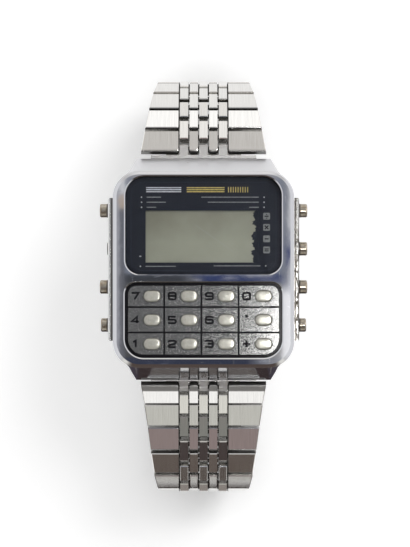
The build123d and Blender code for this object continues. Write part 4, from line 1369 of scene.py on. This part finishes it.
@dataclass
class Studio:
    """Floor, soft light and the room that the metal mirrors."""

    floor_size: float = 4.0
    floor_colour: Colour = (0.92, 0.92, 0.92)
    floor_lift: float = 0.34
    floor_shade_mm: float = 14.0
    floor_shade_ramp: Ramp = (0.0, 0.5)
    card_z: float = 0.001
    cards: tuple[Card, ...] = (
        Card("left_card", (-0.237, -0.112), (0.446, 0.176), (0.075, 0.064, 0.08)),
        Card("right_card", (0.237, -0.112), (0.446, 0.176), (0.075, 0.064, 0.08)),
        Card("tip_card", (0.0, -0.058), (0.08, 0.010), (0.32, 0.29, 0.27)),
        Card("near_card", (0.0, -0.076), (0.08, 0.024), (0.06, 0.045, 0.045)),
        Card("row_card", (0.0, -0.099), (0.08, 0.018), (0.50, 0.49, 0.46)),
    )
    lamp: Lamp = Lamp()
    window: Window = Window()
    dial_sky: DialSky = DialSky()
    light_strength: float = 0.6
    mirrored_strength: float = 1.5
    side_tone: Colour = (0.99, 1.0, 1.03)
    side_reach: Ramp = (0.55, 0.72)
    room_tones: tuple[tuple[float, Colour], ...] = (
        (-90.0, (1.12, 1.10, 1.08)), (-84.0, (1.05, 1.03, 1.01)), (-80.0, (1.45, 1.45, 1.45)),
        (-74.0, (1.45, 1.45, 1.45)), (-68.0, (1.06, 1.04, 1.02)), (-63.0, (1.30, 1.28, 1.26)),
        (-59.5, (0.80, 0.80, 0.80)), (-55.0, (0.78, 0.76, 0.74)), (-46.0, (0.76, 0.74, 0.72)),
        (-12.0, (0.60, 0.61, 0.63)), (8.0, (0.36, 0.365, 0.38)), (24.0, (0.35, 0.31, 0.31)),
        (28.5, (0.35, 0.28, 0.275)), (32.0, (0.34, 0.27, 0.27)), (33.2, (0.285, 0.31, 0.285)),
        (36.5, (0.28, 0.29, 0.27)), (38.4, (0.066, 0.048, 0.048)), (43.5, (0.066, 0.048, 0.048)),
        (48.0, (0.71, 0.71, 0.67)), (53.4, (0.71, 0.71, 0.67)), (54.6, (1.05, 1.04, 0.98)),
        (58.0, (1.05, 1.04, 0.98)), (60.2, (0.12, 0.092, 0.080)), (67.0, (0.12, 0.092, 0.080)),
        (71.0, (1.30, 1.30, 1.30)), (82.0, (1.30, 1.30, 1.30)), (85.0, (0.10, 0.078, 0.066)),
        (90.0, (0.09, 0.068, 0.058)),
    )

    def build(self) -> None:
        """Makes the floor, the cards, the room, the lamp and the window."""
        self.add_floor()
        for card in self.cards:
            self.add_card(card)
        self.set_room()
        self.add_lamp(self.lamp)
        self.add_window(self.window)

    def add_plane(self, name: str, centre: Triple, size: Point, in_gloss_only: bool) -> Bench:
        """Adds a level rectangle that isn't part of the watch.

        Args:
            name: its name.
            centre: where its middle lies, in metres.
            size: its lengths along x and y.
            in_gloss_only: whether all rays but glossy ones pass it by.

        Returns:
            The bench of its new finish.
        """
        shape = bmesh.new()
        place = Matrix.Translation(centre) @ Matrix.Diagonal((*size, 1.0, 1.0))
        bmesh.ops.create_grid(shape, x_segments=2, y_segments=2, size=0.5, matrix=place)
        plane = new_object(name, shape)
        if in_gloss_only:
            for rays in ("camera", "diffuse", "transmission", "shadow", "volume_scatter"):
                setattr(plane, f"visible_{rays}", False)
        bench = Bench(bpy.data.materials.new(name))
        plane.data.materials.append(bench.owner)
        return bench

    def add_floor(self) -> None:
        """Lays the plain floor that the watch rests on."""
        bench = self.add_plane("floor", (0.0, 0.0, 0.0), (self.floor_size, self.floor_size), False)
        rays = bench.node("ShaderNodeLightPath", {}, {}).outputs
        camera, glossy, transmission = (
            Signal(bench, rays[f"Is {kind} Ray"]) for kind in ("Camera", "Glossy", "Transmission")
        )
        matt = bench.socket("ShaderNodeBsdfDiffuse", {}, {"Color": self.floor_colour})
        shade = bench.crevice(self.floor_shade_mm).rise(*self.floor_shade_ramp)
        glow = bench.socket("ShaderNodeEmission", {}, {
            "Color": bench.blend(shade, WHITE, BLACK),
            "Strength": camera.highest(glossy).highest(transmission) * self.floor_lift,
        })
        bench.surface(bench.socket("ShaderNodeAddShader", {}, {0: matt, 1: glow}))

    def add_card(self, card: Card) -> None:
        """Lays one card on the floor."""
        bench = self.add_plane(card.name, (*card.centre, self.card_z), card.size, True)
        bench.surface(bench.socket("ShaderNodeEmission", {}, {"Color": card.tone}))

    def add_window(self, window: Window) -> None:
        """Hangs the window, whose light fades towards its left side and its ends.

        Args:
            window: the window.
        """
        bench = self.add_plane(window.name, (*window.centre, window.height), window.size, True)
        x, y, _ = bench.place()
        share = (x.rise(*window.faint_x) * window.faint).highest(x.rise(*window.full_x))
        tone = bench.blend(share * y.between(*window.ends_y, window.soft), BLACK, window.tone)
        glow = bench.socket("ShaderNodeEmission", {}, {"Color": tone})
        clear = bench.socket("ShaderNodeBsdfTransparent", {}, {})
        bench.surface(bench.socket("ShaderNodeAddShader", {}, {0: clear, 1: glow}))

    def set_room(self) -> None:
        """Sets a plain room: white where it is seen, toned where metal mirrors it."""
        world = bpy.data.worlds.new("studio_room")
        bpy.context.scene.world = world
        bench = Bench(world, "Generated")
        direction = bench.axes(bench.coordinates)
        x, y, z = direction
        pitch = (y * -1.0).turn_to(z) / HALF_TURN + RAMP_MIDDLE
        dimmed = 1.0 / self.mirrored_strength
        stops = [
            (degrees / HALF_TURN + RAMP_MIDDLE, scaled(tone, dimmed)) for degrees, tone in self.room_tones
        ]
        ramp = bench.socket("ShaderNodeValToRGB", {"stops": stops}, {0: pitch})
        tone = bench.blend(abs(x).rise(*self.side_reach), ramp, scaled(self.side_tone, dimmed))
        tone = self.dial_sky.over(bench, direction, tone, self.mirrored_strength)
        looks = ((WHITE, self.light_strength), (tone, self.mirrored_strength), (WHITE, 1.0))
        lit, mirrored, seen = (
            bench.socket("ShaderNodeBackground", {}, {"Color": colour, "Strength": strength})
            for colour, strength in looks
        )
        rays = bench.node("ShaderNodeLightPath", {}, {}).outputs
        room = bench.socket("ShaderNodeMixShader", {}, {0: rays["Is Glossy Ray"], 1: lit, 2: mirrored})
        whole = bench.socket("ShaderNodeMixShader", {}, {0: rays["Is Camera Ray"], 1: room, 2: seen})
        bench.node("ShaderNodeOutputWorld", {}, {0: whole})

    def add_lamp(self, lamp: Lamp) -> None:
        """Hangs a lamp that faces the dial.

        Args:
            lamp: the lamp.
        """
        data = bpy.data.lights.new(lamp.name, "AREA")
        data.shape = "RECTANGLE"
        data.size, data.size_y = lamp.size
        data.energy = lamp.power
        made = bpy.data.objects.new(lamp.name, data)
        made.location = lamp.place
        made.visible_camera = False
        aim = Vector(lamp.aim) - Vector(lamp.place)
        made.rotation_euler = aim.to_track_quat("-Z", "Y").to_euler()
        bpy.context.scene.collection.objects.link(made)


@dataclass
class Viewpoint:
    """The camera, straight above the dial as in the photograph, with its places in millimetres."""

    centre: Point = (0.28, -0.79)
    distance: float = 500.0
    dial_z: float = 37.2
    width_seen: float = 102.56
    sensor: float = 36.0
    nearest: float = 10.0

    def build(self) -> None:
        """Places the camera and makes it the scene's own."""
        data = bpy.data.cameras.new("camera")
        data.sensor_width = self.sensor
        data.lens = self.sensor * self.distance / self.width_seen
        data.clip_start = self.nearest * MM
        camera = bpy.data.objects.new("camera", data)
        camera.location = (self.centre[0] * MM, self.centre[1] * MM, (self.dial_z + self.distance) * MM)
        bpy.context.scene.collection.objects.link(camera)
        bpy.context.scene.camera = camera


def main() -> None:
    """Builds every sub-assembly in order."""
    logging.basicConfig(level=logging.INFO, format="%(name)s: %(message)s")
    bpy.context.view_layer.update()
    for part in (Viewpoint(), Studio(), Case(), Display(), Keypad(), Inside(), Bracelet()):
        part.build()
        log.info("%s is done", type(part).__name__)
    bpy.context.scene.view_settings.view_transform = "Standard"


if __name__ == "__main__":
    main()
